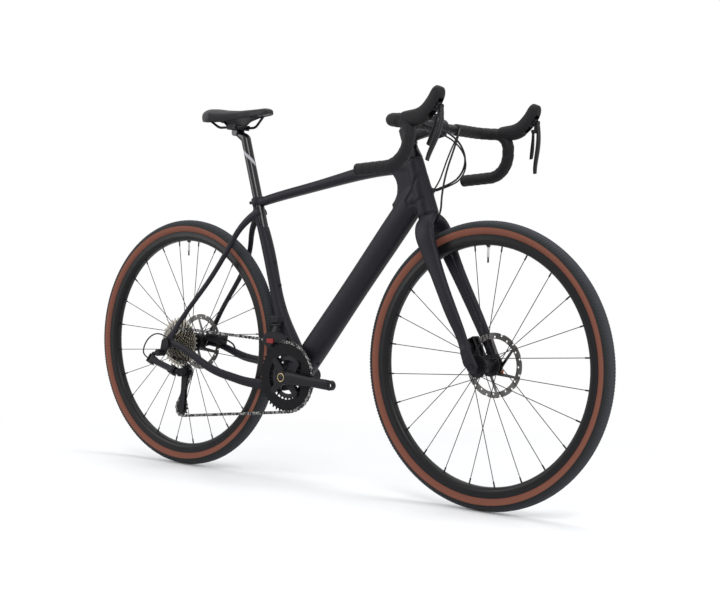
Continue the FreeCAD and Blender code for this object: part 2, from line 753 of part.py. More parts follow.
def run_direction(start, start_radius, start_turn, end, end_radius, end_turn):
    """Heading of a chain run between two wheels; a turn is 1 clockwise and -1 the other way."""
    span = end - start
    lean = math.asin((start_turn * start_radius - end_turn * end_radius) / span.Length)
    return math.atan2(span.z, span.x) - lean


def rim_point(centre, radius, angle):
    """Point of a wheel's pitch circle at an angle."""
    return centre + Vector(math.cos(angle), 0, math.sin(angle)) * radius


def seat_near(start, wheel, contact):
    """Roller seat nearest to an angle that lies a whole number of links from a roller."""
    centre, radius, turn, teeth = wheel
    step = 2 * math.pi / teeth

    def links(angle):
        return (rim_point(centre, radius, angle) - start).Length / chain_pitch

    low, high = contact + turn * step / 2, contact - turn * step
    target = math.ceil(links(low))
    for _ in range(60):
        middle = (low + high) / 2
        if links(middle) < target:
            low = middle
        else:
            high = middle
    return middle, target


def chain_route(cage_angle):
    """Roller places round ring, tension pulley, guide pulley and sprocket, with the closing error."""
    wheels = [(crank_axis, pitch_radius(outer_ring_teeth), 1, outer_ring_teeth),
              (tension_centre(cage_angle), pitch_radius(pulley_teeth), 1, pulley_teeth),
              (guide_centre(), pitch_radius(pulley_teeth), -1, pulley_teeth),
              (rear_axle, pitch_radius(chain_sprocket), 1, chain_sprocket)]
    headings = []
    for index, wheel in enumerate(wheels):
        after = wheels[(index + 1) % 4]
        headings.append(run_direction(wheel[0], wheel[1], wheel[2], after[0], after[1], after[2]))
    ring_leave = headings[0] + math.pi / 2
    phases = [ring_leave]
    last_angle = ring_leave
    rollers = []
    for index in range(1, 4):
        centre, radius, turn, teeth = wheels[index]
        before = wheels[index - 1]
        last = rim_point(before[0], before[1], last_angle)
        first_angle, count = seat_near(last, wheels[index], headings[index - 1] + turn * math.pi / 2)
        first = rim_point(centre, radius, first_angle)
        rollers += [last + (first - last) * (n / count) for n in range(1, count)]
        leave = headings[index] + turn * math.pi / 2
        wrap = (turn * (first_angle - leave)) % (2 * math.pi)
        seats = round(wrap / (2 * math.pi / teeth))
        rollers += [rim_point(centre, radius, first_angle - turn * n * 2 * math.pi / teeth)
                    for n in range(seats + 1)]
        last_angle = first_angle - turn * seats * 2 * math.pi / teeth
        phases.append(first_angle)
    step = 2 * math.pi / outer_ring_teeth
    enter = headings[3] + math.pi / 2
    seats = round(((enter - ring_leave) % (2 * math.pi)) / step)
    first = rim_point(crank_axis, wheels[0][1], ring_leave + seats * step)
    last = rollers[-1]
    span = (first - last).Length / chain_pitch
    count = round(span)
    rollers += [last + (first - last) * (n / count) for n in range(1, count)]
    rollers += [rim_point(crank_axis, wheels[0][1], ring_leave + n * step) for n in range(seats, -1, -1)]
    return rollers, phases, span - count


def settle_cage():
    """Cage angle nearest to the hanging one at which a chain of even links closes."""
    best = None
    step = math.radians(0.1)
    start = math.radians(cage_hang)
    for index in range(-120, 121):
        angle = start + index * step
        rollers, _, error = chain_route(angle)
        _, _, after = chain_route(angle + step)
        if len(rollers) % 2 or error * after > 0 or abs(error - after) > 0.3:
            continue
        low, high = angle, angle + step
        for _ in range(40):
            middle = (low + high) / 2
            if chain_route(middle)[2] * error > 0:
                low = middle
            else:
                high = middle
        if best is None or abs(middle - start) < abs(best - start):
            best = middle
    return best


def make_chain(rollers):
    """Bush chain: every other link is an inner one with rollers, or an outer one with pins."""
    half = chain_inner_gap / 2
    inner_out = half + chain_plate
    outer_in = inner_out + running_fit
    outer_out = outer_in + chain_plate
    ends = [(0, 0), (chain_pitch, 0)]
    waist = (chain_pitch / 2, 0)
    round_end = chain_plate_height / 2

    def side_plates(low, high):
        shape = link_plate([ends[0], waist, ends[1]], [round_end, round_end * 0.74, round_end], low, high)
        return [shape, shape.mirror(Vector(0, 0, 0), Y_AXIS)]

    pin = chain_roller_radius * 0.45
    inner = side_plates(half, inner_out)
    outer = side_plates(outer_in, outer_out)
    for x, z in ends:
        spot = Vector(x, 0, z)
        inner.append(disc(spot, -half, half, chain_roller_radius))
        outer.append(disc(spot, -outer_out, outer_out, pin))
    bores = [disc(Vector(x, 0, z), -inner_out, inner_out, pin + close_fit) for x, z in ends]
    inner_link = inner[0].fuse(inner[1:]).cut(bores)
    outer_link = outer[0].fuse(outer[1:])
    links = []
    for index, here in enumerate(rollers):
        heading = rollers[(index + 1) % len(rollers)] - here
        angle = math.degrees(math.atan2(heading.z, heading.x))
        link = (inner_link if index % 2 else outer_link).copy()
        link.rotate(Vector(0, 0, 0), Y_AXIS, -angle)
        links.append(link.translated(here + Vector(0, chain_y, 0)))
    return links


def make_cassette(sprocket_phase):
    """Sprockets on the freehub body, with the lock ring."""
    pieces = []
    bore = freehub_radius + close_fit
    for index, teeth in enumerate(cassette_teeth):
        y_middle = smallest_sprocket_y + sprocket_pitch * index
        phase = sprocket_phase if teeth == chain_sprocket else math.radians(7 * index)
        blank = toothed_disc(rear_axle, teeth, phase, y_middle, tooth_thickness)
        cuts = [disc(rear_axle, y_middle - 1, y_middle + 1, bore)]
        window = (pitch_radius(teeth) - 6.0 + freehub_radius + 5.0) / 2
        half_window = (pitch_radius(teeth) - 6.0 - freehub_radius - 5.0) / 2
        if half_window > 4.0:
            for spot in range(9):
                place = rim_point(rear_axle, window, 2 * math.pi * spot / 9 + phase)
                cuts.append(disc(place, y_middle - 1, y_middle + 1, min(half_window, window * 0.22)))
        pieces.append(blank.cut(cuts))
    low = smallest_sprocket_y - tooth_thickness / 2
    high = smallest_sprocket_y + sprocket_pitch * (len(cassette_teeth) - 1) + tooth_thickness
    sleeve = axle_sleeve_radius + running_fit
    body = disc(rear_axle, low, high, freehub_radius)
    spacer = sprocket_pitch - tooth_thickness
    for index in range(len(cassette_teeth) - 1):
        floor = low + tooth_thickness + sprocket_pitch * index
        gap = disc(rear_axle, floor, floor + spacer, freehub_radius + 2.6)
        pieces.append(gap.cut(disc(rear_axle, floor, floor + spacer, bore)))
    lock_hole = disc(rear_axle, low - 2.0, low, end_cap_radius + 1.0)
    lock = disc(rear_axle, low - 2.0, low, freehub_radius).cut(lock_hole)
    pieces.append(lock)
    pieces.append(body.cut(disc(rear_axle, low, high, sleeve)))
    return pieces


def crank_spot(radius, degrees):
    """Point beside the crank axis, turned with the right crank arm."""
    return rim_point(crank_axis, radius, math.radians(crank_tilt + degrees))


def make_chainrings(ring_phase):
    """Outer ring with its bolts, and inner ring; both sit on the crank's four spider arms."""
    rings = []
    for teeth, y_middle, phase, bolt_circle, core in (
            (outer_ring_teeth, chain_y, ring_phase, outer_bolt_circle, outer_ring_core),
            (inner_ring_teeth, inner_ring_y, ring_phase, inner_bolt_circle, inner_ring_core)):
        low, high = y_middle - ring_plate / 2, y_middle + ring_plate / 2
        body_radius = pitch_radius(teeth) - chain_roller_radius - 3.0
        ring = toothed_disc(crank_axis, teeth, phase, y_middle, tooth_thickness)
        ring = ring.fuse(disc(crank_axis, low, high, body_radius))
        tabs = [disc(crank_axis, low - 1, high + 1, core)]
        ring = ring.cut(tabs)
        lugs = [disc(crank_spot(bolt_circle, angle), low, high, ring_bolt_radius + 4.5)
                for angle in spider_angles]
        holes = [disc(crank_spot(bolt_circle, angle), low - 1, high + 1, ring_bolt_radius + close_fit)
                 for angle in spider_angles]
        rings.append(ring.fuse(lugs).cut(holes))
    face = chain_y - ring_plate / 2
    bolts = []
    for angle in spider_angles:
        place = crank_spot(outer_bolt_circle, angle)
        inner_face = chain_y + ring_plate / 2
        shank = disc(place, face, inner_face, ring_bolt_radius)
        bolts.append(shank.fuse(disc(place, inner_face, inner_face + 1.8, ring_bolt_radius + 2.0)))
        place = crank_spot(inner_bolt_circle, angle)
        inner_face = inner_ring_y + ring_plate / 2
        post = disc(place, face, inner_ring_y - ring_plate / 2, ring_bolt_radius + 2.0)
        post = post.fuse(disc(place, inner_ring_y - ring_plate / 2, inner_face, ring_bolt_radius))
        bolts.append(post.fuse(disc(place, inner_face, inner_face + 1.8, ring_bolt_radius + 2.0)))
    return rings, bolts


def make_crank_arms():
    """Right arm with spider and spindle, and the left arm pointing the other way."""
    half = bottom_bracket_width / 2 + 2.0
    spider_low = chain_y - ring_plate / 2 - spider_thickness
    spider_high = chain_y - ring_plate / 2
    arms = []
    for side, turn in ((-1, 0), (1, 180)):
        eye = crank_spot(crank_length, turn)
        root = crank_axis + Vector(0, side * 62.0, 0)
        tip = eye + Vector(0, side * 68.0, 0)
        beyond = crank_spot(crank_length + 9.0, turn) + Vector(0, side * 68.3, 0)
        shares = ((-0.06, 7.5, 16), (0.12, 8, 17), (0.4, 7, 14.5), (0.8, 6.5, 13), (0.95, 6.5, 13))
        stations = [station(along(root, tip, share), width, depth) for share, width, depth in shares]
        arm = limb(stations + [station(beyond, 6, 10.5)], 3.2)
        boss = disc(crank_axis, side * half, side * 70.0, crank_boss_radius)
        knob = disc(eye, side * 61.8, side * 74.5, 13.0)
        arm = arm.fuse([boss, knob])
        arms.append((side, eye, arm))
    right = arms[0][2]
    legs = []
    for angle in spider_angles:
        near = crank_spot(crank_boss_radius - 4.0, angle)
        far = crank_spot(outer_bolt_circle, angle)
        legs.append(link_plate([(near.x, near.z), (far.x, far.z)], [11.0, ring_bolt_radius + 5.0],
                               spider_low, spider_high))
    spindle = disc(crank_axis, -half - 2.0, half + 14.0, spindle_radius)
    right = right.fuse(legs + [spindle])
    hole = disc(arms[0][1], -80.0, -55.0, pedal_hole_radius)
    cap = disc(crank_axis, -70.0, -66.0, 9.0)
    right = right.cut([hole, cap])
    left = arms[1][2].cut([disc(arms[1][1], 55.0, 80.0, pedal_hole_radius),
                           disc(crank_axis, half - 1.0, half + 14.0, spindle_radius + close_fit)])
    return right, left


def bar_points(start_y):
    """Corner points of the left half of the handlebar, from a place on the tops to the drop's end."""
    return [Vector(bar_x, start_y, bar_z), Vector(bar_x, bar_half_width, bar_z),
            Vector(bar_x + bar_reach + 2.0, bar_half_width + 1.0, bar_z - 4.0),
            Vector(bar_x + bar_reach - 6.0, bar_half_width + bar_flare * 0.75, bar_z - bar_drop + 10.0),
            Vector(bar_end_x, bar_half_width + bar_flare, bar_z - bar_drop)]


def make_handlebar():
    """Drop bar: one bent tube with a thicker clamp in the middle."""
    left = bar_points(bar_half_width / 2)
    right = [Vector(p.x, -p.y, p.z) for p in reversed(left)]
    path = rounded_path(right[:-1] + left[1:], bar_bends[::-1] + bar_bends)
    swell = bar_clamp_radius - bar_radius
    centre = bar_centre()
    clamp = disc(centre, -stem_clamp_half, stem_clamp_half, bar_clamp_radius)
    cones = [Part.makeCone(bar_clamp_radius, bar_radius, swell * 5,
                           centre + Vector(0, side * stem_clamp_half, 0), Vector(0, side, 0)) for side in (1, -1)]
    bore = swept(path, bar_radius - bar_wall)
    return swept(path, bar_radius).fuse([clamp] + cones).cut(bore)


def hood_form(inset):
    """Outer form of the left lever hood, or of the bracket inside it."""
    base = Vector(bar_x + bar_reach, bar_half_width, bar_z)
    back = 4.0 if inset else 0.0
    rows = ((-22 + back, 0, -1, 15.5, 16), (10, 0.5, 0, 16, 19.5), (38, 1, 8, 15.5, 20),
            (60, 1.5, 27, 15.5, 19.5), (75, 2, 49, 16, 18), (80, 2, 61, 14, 14.5),
            (83 - back / 2, 2, 68 - back, 8, 8.5))
    return limb([(base.x + x, base.y + y, base.z + z, width - inset, depth - inset)
                 for x, y, z, width, depth in rows], 2.3)


def lever_pivot():
    """Middle of the left brake lever's pivot pin."""
    return Vector(bar_x + bar_reach + 77.0, bar_half_width + 2.0, bar_z + 27.0)


def lever_groove():
    """Room in the front of the hood in which the lever swings."""
    pivot = lever_pivot()
    upper = Part.makeBox(60, 19, 50, Vector(pivot.x - 8.0, pivot.y - 9.5, pivot.z - 37.0))
    return upper.fuse(Part.makeBox(40, 19, 40, Vector(pivot.x - 28.0, pivot.y - 9.5, pivot.z - 54.0)))


def make_lever_body():
    """Left bracket with the lever's pivot pin, and the rubber hood over it."""
    rod = swept(rounded_path(bar_points(bar_half_width / 2), bar_bends), bar_radius + close_fit)
    pivot = lever_pivot()
    pin = disc(pivot, pivot.y - 12.0, pivot.y + 12.0, lever_pin_radius)
    core = hood_form(hood_wall)
    bracket = core.cut([rod, lever_groove()]).fuse(pin)
    hood = hood_form(0).cut([core, rod, lever_groove(), pin])
    return bracket, hood


def make_tape_side():
    """Left bar tape, above and below the hood, and the end plug."""
    points = bar_points(tape_start)
    path = rounded_path(points, bar_bends)
    tape = swept(path, tape_radius).cut([swept(path, bar_radius + close_fit), hood_form(0)])
    end = points[-1]
    out = (end - points[-2]).normalize()
    cap = cylinder(end, end + out * 4.0, tape_radius + 0.4)
    stopper = cylinder(end - out * 12.0, end, bar_radius - bar_wall - close_fit)
    return [solid for solid in tape.Solids if solid.Volume > 500.0] + [cap.fuse(stopper)]


def make_yoke():
    """Left lever yoke: turns on the bracket's pin and carries the blade's and paddle's pins."""
    pivot = lever_pivot()
    half = 8.0
    body = link_plate([(pivot.x, pivot.z), (pivot.x + 3.0, pivot.z - 5.0)], [7.0, 4.0],
                      pivot.y - half, pivot.y + half)
    lug = Part.makeBox(5.0, 9.0, 35.0, Vector(pivot.x + 2.0, pivot.y - 4.5, pivot.z - 31.0))
    front = pivot.x + 7.0
    blade_pin = lever_pin(front - 2.0, front + 7.0, blade_axis_z(), lever_pin_radius)
    paddle_pin = lever_pin(pivot.x - 7.0, pivot.x + 3.0, paddle_axis_z(), lever_pin_radius)
    return body.fuse([lug, blade_pin, paddle_pin]).cut(
        disc(pivot, pivot.y - half, pivot.y + half, lever_pin_radius + running_fit))


def lever_pin(start, end, height, radius):
    """Round pin that runs forwards in the middle of the left lever, or the hole for it."""
    side = lever_pivot().y
    return cylinder(Vector(start, side, height), Vector(end, side, height), radius)


def blade_axis_z():
    """Height of the axis on which the brake blade swings sideways."""
    return lever_pivot().z - 5.0


def paddle_axis_z():
    """Height of the axis on which the shift paddle swings sideways."""
    return lever_pivot().z - 26.0


def make_blade():
    """Left brake blade: a curved lever that hooks outwards to its tip."""
    pivot = lever_pivot()
    start = pivot.x + 7.0 + running_fit
    barrel = lever_pin(start, start + 7.0, blade_axis_z(), 5.5)
    rows = ((4.5, 0, -6, 5, 3.2), (5.5, 1, -24, 7, 3.4), (2.5, 6, -58, 8.5, 3.6), (-8, 15, -96, 8, 3.6),
            (-16, 24, -lever_reach, 6, 3.4))
    blade = limb([(start + x, pivot.y + y, pivot.z + z, width, depth) for x, y, z, width, depth in rows], 2.6)
    hole = lever_pin(start - 1.0, start + 12.0, blade_axis_z(), lever_pin_radius + running_fit)
    return barrel.fuse(blade).cut(hole)


def make_paddle():
    """Left shift paddle, behind the brake blade."""
    pivot = lever_pivot()
    start = pivot.x + 2.0 - running_fit
    barrel = lever_pin(start - 8.0, start, paddle_axis_z(), 4.8)
    rows = ((-4.5, 0, paddle_axis_z() - pivot.z - 1.0, 4.2, 2.6), (-6.5, 3, -50, 6, 2.4), (-12, 9, -76, 8, 2.2),
            (-17, 14, -94, 6.5, 2.0))
    paddle = limb([(start + x, pivot.y + y, pivot.z + z, width, depth) for x, y, z, width, depth in rows], 2.6)
    hole = lever_pin(start - 9.0, start + 1.0, paddle_axis_z(), lever_pin_radius + running_fit)
    return barrel.fuse(paddle).cut(hole)


def make_stem():
    """Stem body, its faceplate, their bolts and the top cap."""
    clamp = stem_clamp_centre()
    centre = bar_centre()
    reach = (centre - clamp).normalize()
    rise = reach.cross(Y_AXIS).normalize()
    if rise.z < 0:
        rise = rise * -1
    half_height = steer_up * (stem_clamp_height / 2)
    ring = bar_clamp_radius + 5.0
    body = cylinder(clamp - half_height, clamp + half_height, steerer_radius + 5.2)
    spine = limb([station(clamp, 16, 17), station(along(clamp, centre, 0.5), 15, 15.5),
                  station(along(clamp, centre, 0.88), 18, 17)], 2.6)
    band = disc(centre, -stem_clamp_half, stem_clamp_half, ring)
    spots = [centre + rise * (up * (ring - 0.5)) + Vector(0, side * (stem_clamp_half - 7.0), 0)
             for up in (1, -1) for side in (1, -1)]
    lugs = [cylinder(spot - reach * 13.0, spot + reach * 9.0, 5.0) for spot in spots]
    bar_hole = disc(centre, -stem_clamp_half - 1, stem_clamp_half + 1, bar_clamp_radius + close_fit)
    steerer_hole = cylinder(clamp - half_height * 1.2, clamp + half_height * 1.2, steerer_radius + close_fit)
    threads = [cylinder(spot - reach * 11.0, spot + reach * 14.0, stem_bolt_radius + close_fit)
               for spot in spots]
    recesses = [cylinder(spot + reach * 9.0, spot + reach * 20.0, stem_bolt_radius + 2.0 + close_fit)
                for spot in spots]
    head = band.fuse(lugs).cut([bar_hole] + threads + recesses)
    slab = Part.makeBox(120, 120, 120, Vector(-60, -60, -60))
    turn = Rotation(Vector(1, 0, 0), reach)
    front_half = slab.copy()
    front_half.translate(Vector(60 + faceplate_gap / 2, 0, 0))
    rear_half = slab.copy()
    rear_half.translate(Vector(-60 - faceplate_gap / 2, 0, 0))
    for block in (front_half, rear_half):
        block.Placement = FreeCAD.Placement(centre, turn).multiply(block.Placement)
    faceplate = head.common(front_half)
    stem = body.fuse(spine).cut([bar_hole, front_half])
    stem = stem.fuse(head.common(rear_half)).cut([steerer_hole] + threads)
    bolts = []
    for spot in spots:
        shank = cylinder(spot - reach * 10.5, spot + reach * 9.0, stem_bolt_radius)
        bolts.append(shank.fuse(cylinder(spot + reach * 9.0, spot + reach * 12.0, stem_bolt_radius + 2.0)))
    return stem, faceplate, bolts


def make_top_cap():
    """Headset cap on the stem, with its bolt head."""
    top = stem_clamp_centre() + steer_up * (stem_clamp_height / 2)
    cap = cylinder(top, top + steer_up * 4.0, steerer_radius + 2.5)
    return cap.fuse(cylinder(top + steer_up * 4.0, top + steer_up * 6.0, 4.5))


def caliper_seat(front):
    """Middle of a caliper, its long direction and the direction away from its mount."""
    if front:
        low = front_axle + leg_foot
        high = front_axle + leg_knee
        heading = (high - low).normalize()
        away = Vector(-heading.z, 0, heading.x)
        seat = leg_foot_half + 0.2 * (leg_knee_half - leg_foot_half) + 0.5
        return along(low, high, 0.2) + away * (seat + caliper_height / 2 + free_gap), heading, away
    low = rear_axle + Vector(50, 0, -6)
    high = rear_axle + Vector(101, 0, -17)
    heading = (high - low).normalize()
    away = Vector(-heading.z, 0, heading.x)
    return along(low, high, 0.22) + away * (10.9 + caliper_height / 2 + free_gap), heading, away


def aligned_box(centre, first, second, size_first, size_second, y_low, y_high):
    """Block in the side view along two directions, between two Y planes."""
    corners = []
    for one, two in ((-1, -1), (1, -1), (1, 1), (-1, 1)):
        spot = centre + first * (one * size_first / 2) + second * (two * size_second / 2)
        corners.append((spot.x, spot.z))
    return plate(corners[0], corners[1:] + corners[:1], y_low, y_high)


def make_caliper(front):
    """Brake caliper with a slot for the disc, and its two pads."""
    axle = front_axle if front else rear_axle
    disc_y = front_rotor_y if front else rear_rotor_y
    centre, heading, away = caliper_seat(front)
    slot = rotor_thickness / 2 + pad_gap + pad_thickness + free_gap
    body = aligned_box(centre, heading, away, caliper_length, caliper_height,
                       disc_y - slot - caliper_inner_wall, disc_y + slot + caliper_outer_wall)
    body = body.makeFillet(3.0, body.Edges)
    gap = disc(axle, disc_y - slot, disc_y + slot, rotor_radius + 1.5)
    pads = []
    inward = (axle - centre).normalize()
    spot = axle - inward * (rotor_radius - rotor_band / 2 - 2.0)
    sideways = Vector(-inward.z, 0, inward.x)
    for side in (-1, 1):
        near = disc_y + side * (rotor_thickness / 2 + pad_gap)
        far = near + side * pad_thickness
        pads.append(aligned_box(spot, sideways, inward, 26.0, 14.0, min(near, far), max(near, far)))
    return body.cut(gap), pads


def derailleur_axes():
    """Directions of the derailleur's links: along a link, across the pair, along the pins."""
    span = link_foot_to_tip
    across = Vector(0, 1, -slant)
    across.x = -(span.y * across.y + span.z * across.z) / span.x
    across.normalize()
    return Vector(span).normalize(), across, span.cross(across).normalize()


def link_root():
    """Middle of the two link pins on the fixed knuckle."""
    return rear_axle + link_root_offset


def local_point(origin, first, second, third):
    """Point given along the link directions from an origin."""
    axes = derailleur_axes()
    return origin + axes[0] * first + axes[1] * second + axes[2] * third


def local_box(origin, low, high):
    """Block given along the link directions from an origin."""
    axes = derailleur_axes()
    block = Part.makeBox(high[0] - low[0], high[1] - low[1], high[2] - low[2], Vector(*low))
    matrix = FreeCAD.Matrix(axes[0].x, axes[1].x, axes[2].x, origin.x,
                            axes[0].y, axes[1].y, axes[2].y, origin.y,
                            axes[0].z, axes[1].z, axes[2].z, origin.z, 0, 0, 0, 1)
    block.Placement = FreeCAD.Placement(matrix)
    return block


def make_link(side):
    """One of the two parallel links, with a bored barrel at each end."""
    length = link_foot_to_tip.Length
    offset = side * link_half_gap
    height = link_half_height
    foot = link_root()
    pieces = [local_box(foot, (0, offset - 3.0, -height + 1.0), (length, offset + 3.0, height - 1.0))]
    bores = []
    for at in (0.0, length):
        low = local_point(foot, at, offset, -height)
        high = local_point(foot, at, offset, height)
        pieces.append(cylinder(low, high, link_barrel_radius))
        bores.append(cylinder(low, high, link_pin_radius + running_fit))
    return pieces[0].fuse(pieces[1:]).cut(bores)


def clevis(origin, direction):
    """Two plates above and below the link barrels, a web behind them and their pins."""
    height = link_half_height + free_gap
    wide = link_half_gap + link_barrel_radius + 0.5
    spans = sorted((direction * -9.0, direction * 5.5))
    web = sorted((direction * -10.0, direction * -(link_barrel_radius + 1.0)))
    pieces = [local_box(origin, (spans[0], -wide, height), (spans[1], wide, height + 3.0)),
              local_box(origin, (spans[0], -wide, -height - 3.0), (spans[1], wide, -height)),
              local_box(origin, (web[0], -wide, -height - 3.0), (web[1], wide, height + 3.0))]
    for side in (-1, 1):
        low = local_point(origin, 0, side * link_half_gap, -height - 3.0)
        high = local_point(origin, 0, side * link_half_gap, height + 3.0)
        pieces.append(cylinder(low, high, link_pin_radius))
    return pieces


def hanger_bolt():
    """Middle of the derailleur's mounting bolt in the side view."""
    return rear_axle + Vector(-hanger_back, 0, -hanger_drop)


def make_hanger():
    """Replaceable derailleur hanger on the outside of the right dropout."""
    face = rear_hub_width / 2 + dropout_thickness
    bolt = hanger_bolt()
    blank = link_plate([(rear_axle.x, rear_axle.z), (bolt.x, bolt.z)], [14.0, 10.0],
                       -face - hanger_thickness, -face)
    return blank.cut([disc(rear_axle, -face - hanger_thickness, -face, axle_radius + running_fit),
                      disc(bolt, -face - hanger_thickness, -face, hanger_bolt_radius + close_fit)])


def make_knuckle():
    """Fixed knuckle: mounting bolt, round body and the links' clevis."""
    face = rear_hub_width / 2 + dropout_thickness
    bolt = hanger_bolt()
    outer = -face - hanger_thickness
    shank = disc(bolt, outer, -face, hanger_bolt_radius)
    head = disc(bolt, outer - 20.0, outer - running_fit, 9.5)
    neck = disc(bolt, outer - running_fit, outer, hanger_bolt_radius)
    root = link_root()
    web = local_point(root, -8.0, 0, link_half_height + 7.0)
    arm = cylinder(Vector(bolt.x, outer - 11.0, bolt.z), web, 6.0)
    return head.fuse([shank, neck, arm] + clevis(root, 1))


def make_carrier():
    """Lower knuckle: the links' other clevis and the cage's pivot barrel."""
    tip = link_root() + link_foot_to_tip
    centre = guide_centre()
    inner = chain_y - cage_inside - cage_plate - free_gap
    outer = inner - 22.0
    barrel = disc(centre, outer, inner, 12.0)
    web = local_point(tip, 10.0, 0, 0)
    arm = cylinder(web, Vector(centre.x, (inner + outer) / 2, centre.z), 8.0)
    body = barrel.fuse([arm] + clevis(tip, -1))
    return body.cut(disc(centre, outer + 3.0, inner, cage_pivot_radius + running_fit))


def make_cage(cage_angle):
    """Pulley cage: two plates, the pulley bolts and the pivot pin."""
    upper = guide_centre()
    lower = tension_centre(cage_angle)
    middle = along(upper, lower, 0.5)
    points = [(upper.x, upper.z), (middle.x, middle.z), (lower.x, lower.z)]
    near = cage_inside
    far = cage_inside + cage_plate
    pieces = [link_plate(points, [13.0, 8.0, 12.0], chain_y - far, chain_y - near),
              link_plate(points, [12.0, 7.0, 11.0], chain_y + near, chain_y + far)]
    for spot in (upper, lower):
        pieces.append(disc(spot, chain_y - far, chain_y + far, cage_pin_radius))
    pieces.append(disc(upper, chain_y - far - 18.0, chain_y - far, cage_pivot_radius))
    return pieces[0].fuse(pieces[1:])


def make_pulley(centre, phase):
    """Jockey pulley with a hub that fills the cage."""
    wheel = toothed_disc(centre, pulley_teeth, phase, chain_y, pulley_thickness, pulley_tooth_height)
    half = cage_inside - 0.15
    hub = disc(centre, chain_y - half, chain_y + half, 6.5)
    return wheel.fuse(hub).cut(disc(centre, chain_y - half, chain_y + half, cage_pin_radius + running_fit))


def shifter_pivot():
    """Middle of the front derailleur's pivot pin."""
    mount = on_seat_axis(crank_z + shifter_height)
    return Vector(mount.x + 3.0, -31.0, mount.z)


def make_front_derailleur_body(frame):
    """Front derailleur's body on the seat tube, with ears and the pivot pin."""
    pivot = shifter_pivot()
    corner = Vector(pivot.x - 15.0, pivot.y - 7.0, pivot.z + shifter_block_rise)
    block = Part.makeBox(30.0, 24.0, 20.0, corner)
    block = block.makeFillet(3.0, block.Edges).cut(frame)
    block = max(block.Solids, key=lambda solid: solid.Volume)
    ears = []
    for side in (-1, 1):
        ears.append(link_plate([(pivot.y, pivot.z), (pivot.y, pivot.z + 12.0)], [4.5, 4.5], -1.75, 1.75))
        ears[-1].rotate(Vector(0, 0, 0), Vector(0, 0, 1), 90)
        ears[-1] = ears[-1].mirror(Vector(0, 0, 0), Vector(1, 0, 0))
        ears[-1].translate(Vector(pivot.x + side * 12.5, 0, 0))
    pin = cylinder(pivot - Vector(13, 0, 0), pivot + Vector(13, 0, 0), link_pin_radius)
    return block.fuse(ears + [pin])


def make_front_derailleur_cage():
    """Chain guide: inner and outer plates, two bridges and the swinging arm."""
    pivot = shifter_pivot()
    top = crank_z + pitch_radius(outer_ring_teeth) + 22.0
    ring = pitch_radius(outer_ring_teeth) + 5.5
    front, rear = crank_x + 4.0, crank_x - 82.0

    def guide_plate(drop, y_low, y_high):
        radius = ring - drop
        rear_x = crank_x - 64.0
        rear_z = crank_z + math.sqrt(radius ** 2 - 64.0 ** 2)
        middle = (crank_x - 32.0, crank_z + math.sqrt(radius ** 2 - 32.0 ** 2))
        nose_z = crank_z + math.sqrt(radius ** 2 - 16.0)
        rim = [(front, nose_z + 10.0), (crank_x - 14.0, top), (rear + 16.0, top + 2.0), (rear, top - 8.0),
               (rear, top - 28.0), (rear_x, rear_z), (middle, (front, nose_z))]
        return plate((front, nose_z), rim, y_low, y_high)

    outer = guide_plate(0.0, chain_y - 6.6, chain_y - 5.2)
    inner = guide_plate(9.0, chain_y + 5.6, chain_y + 7.2)
    bridge_top = Part.makeBox(12.0, 13.8, 3.0, Vector(crank_x - 26.0, chain_y - 6.6, top - 3.0))
    bridge_tail = Part.makeBox(5.0, 13.8, 3.0, Vector(rear, chain_y - 6.6, top - 28.0))
    barrel = cylinder(pivot - Vector(10.4, 0, 0), pivot + Vector(10.4, 0, 0), 5.0)
    foot = Vector(pivot.x, chain_y + 6.4, top - 6.0)
    half_way = along(pivot, foot, 0.5)
    arm = limb([(pivot.x, pivot.y, pivot.z - 2, 3.0, 9.0), (half_way.x, half_way.y, half_way.z, 2.6, 9.0),
                (foot.x, foot.y, foot.z, 2.4, 9.0)], 3.0)
    bore = cylinder(pivot - Vector(11, 0, 0), pivot + Vector(11, 0, 0), link_pin_radius + running_fit)
    return outer.fuse([inner, bridge_top, bridge_tail, barrel, arm]).cut(bore)


def clamp_centre():
    """Axis of the round cradle on which the saddle clamp tilts."""
    top = on_seat_axis(post_top)
    return Vector(top.x - post_setback, 0, top.z + 3.0)


def make_seatpost():
    """Round post with a set-back head that ends in a round cradle."""
    foot = on_seat_axis(seat_tube_top - post_insert)
    neck = on_seat_axis(post_top - 16.0)
    cradle = clamp_centre()
    head = limb([station(on_seat_axis(post_top - 26.0), 12.5, 12.5), station(neck, 13, 13.5),
                 station(along(neck, cradle, 0.55), 13, 10.5), station(cradle, 12, 8.5)], 2.2)
    post = cylinder(foot, neck, post_radius).fuse([head, disc(cradle, -16.0, 16.0, cradle_radius)])
    return post


def rail_points(side):
    """Corner points of one saddle rail."""
    clamp = clamp_centre()
    level = clamp.z + rail_rise
    half = rail_spacing / 2
    return [Vector(clamp.x + 93.0, side * 12.0, level + 38.0), Vector(clamp.x + 45.0, side * half, level),
            Vector(clamp.x - 52.0, side * half, level),
            Vector(clamp.x - 96.0, side * (half + 10.0), level + 31.0)]


def make_rail(side, radius):
    """One bent saddle rail, or the hole for it."""
    return swept(rounded_path(rail_points(side), [30.0, 30.0]), radius)


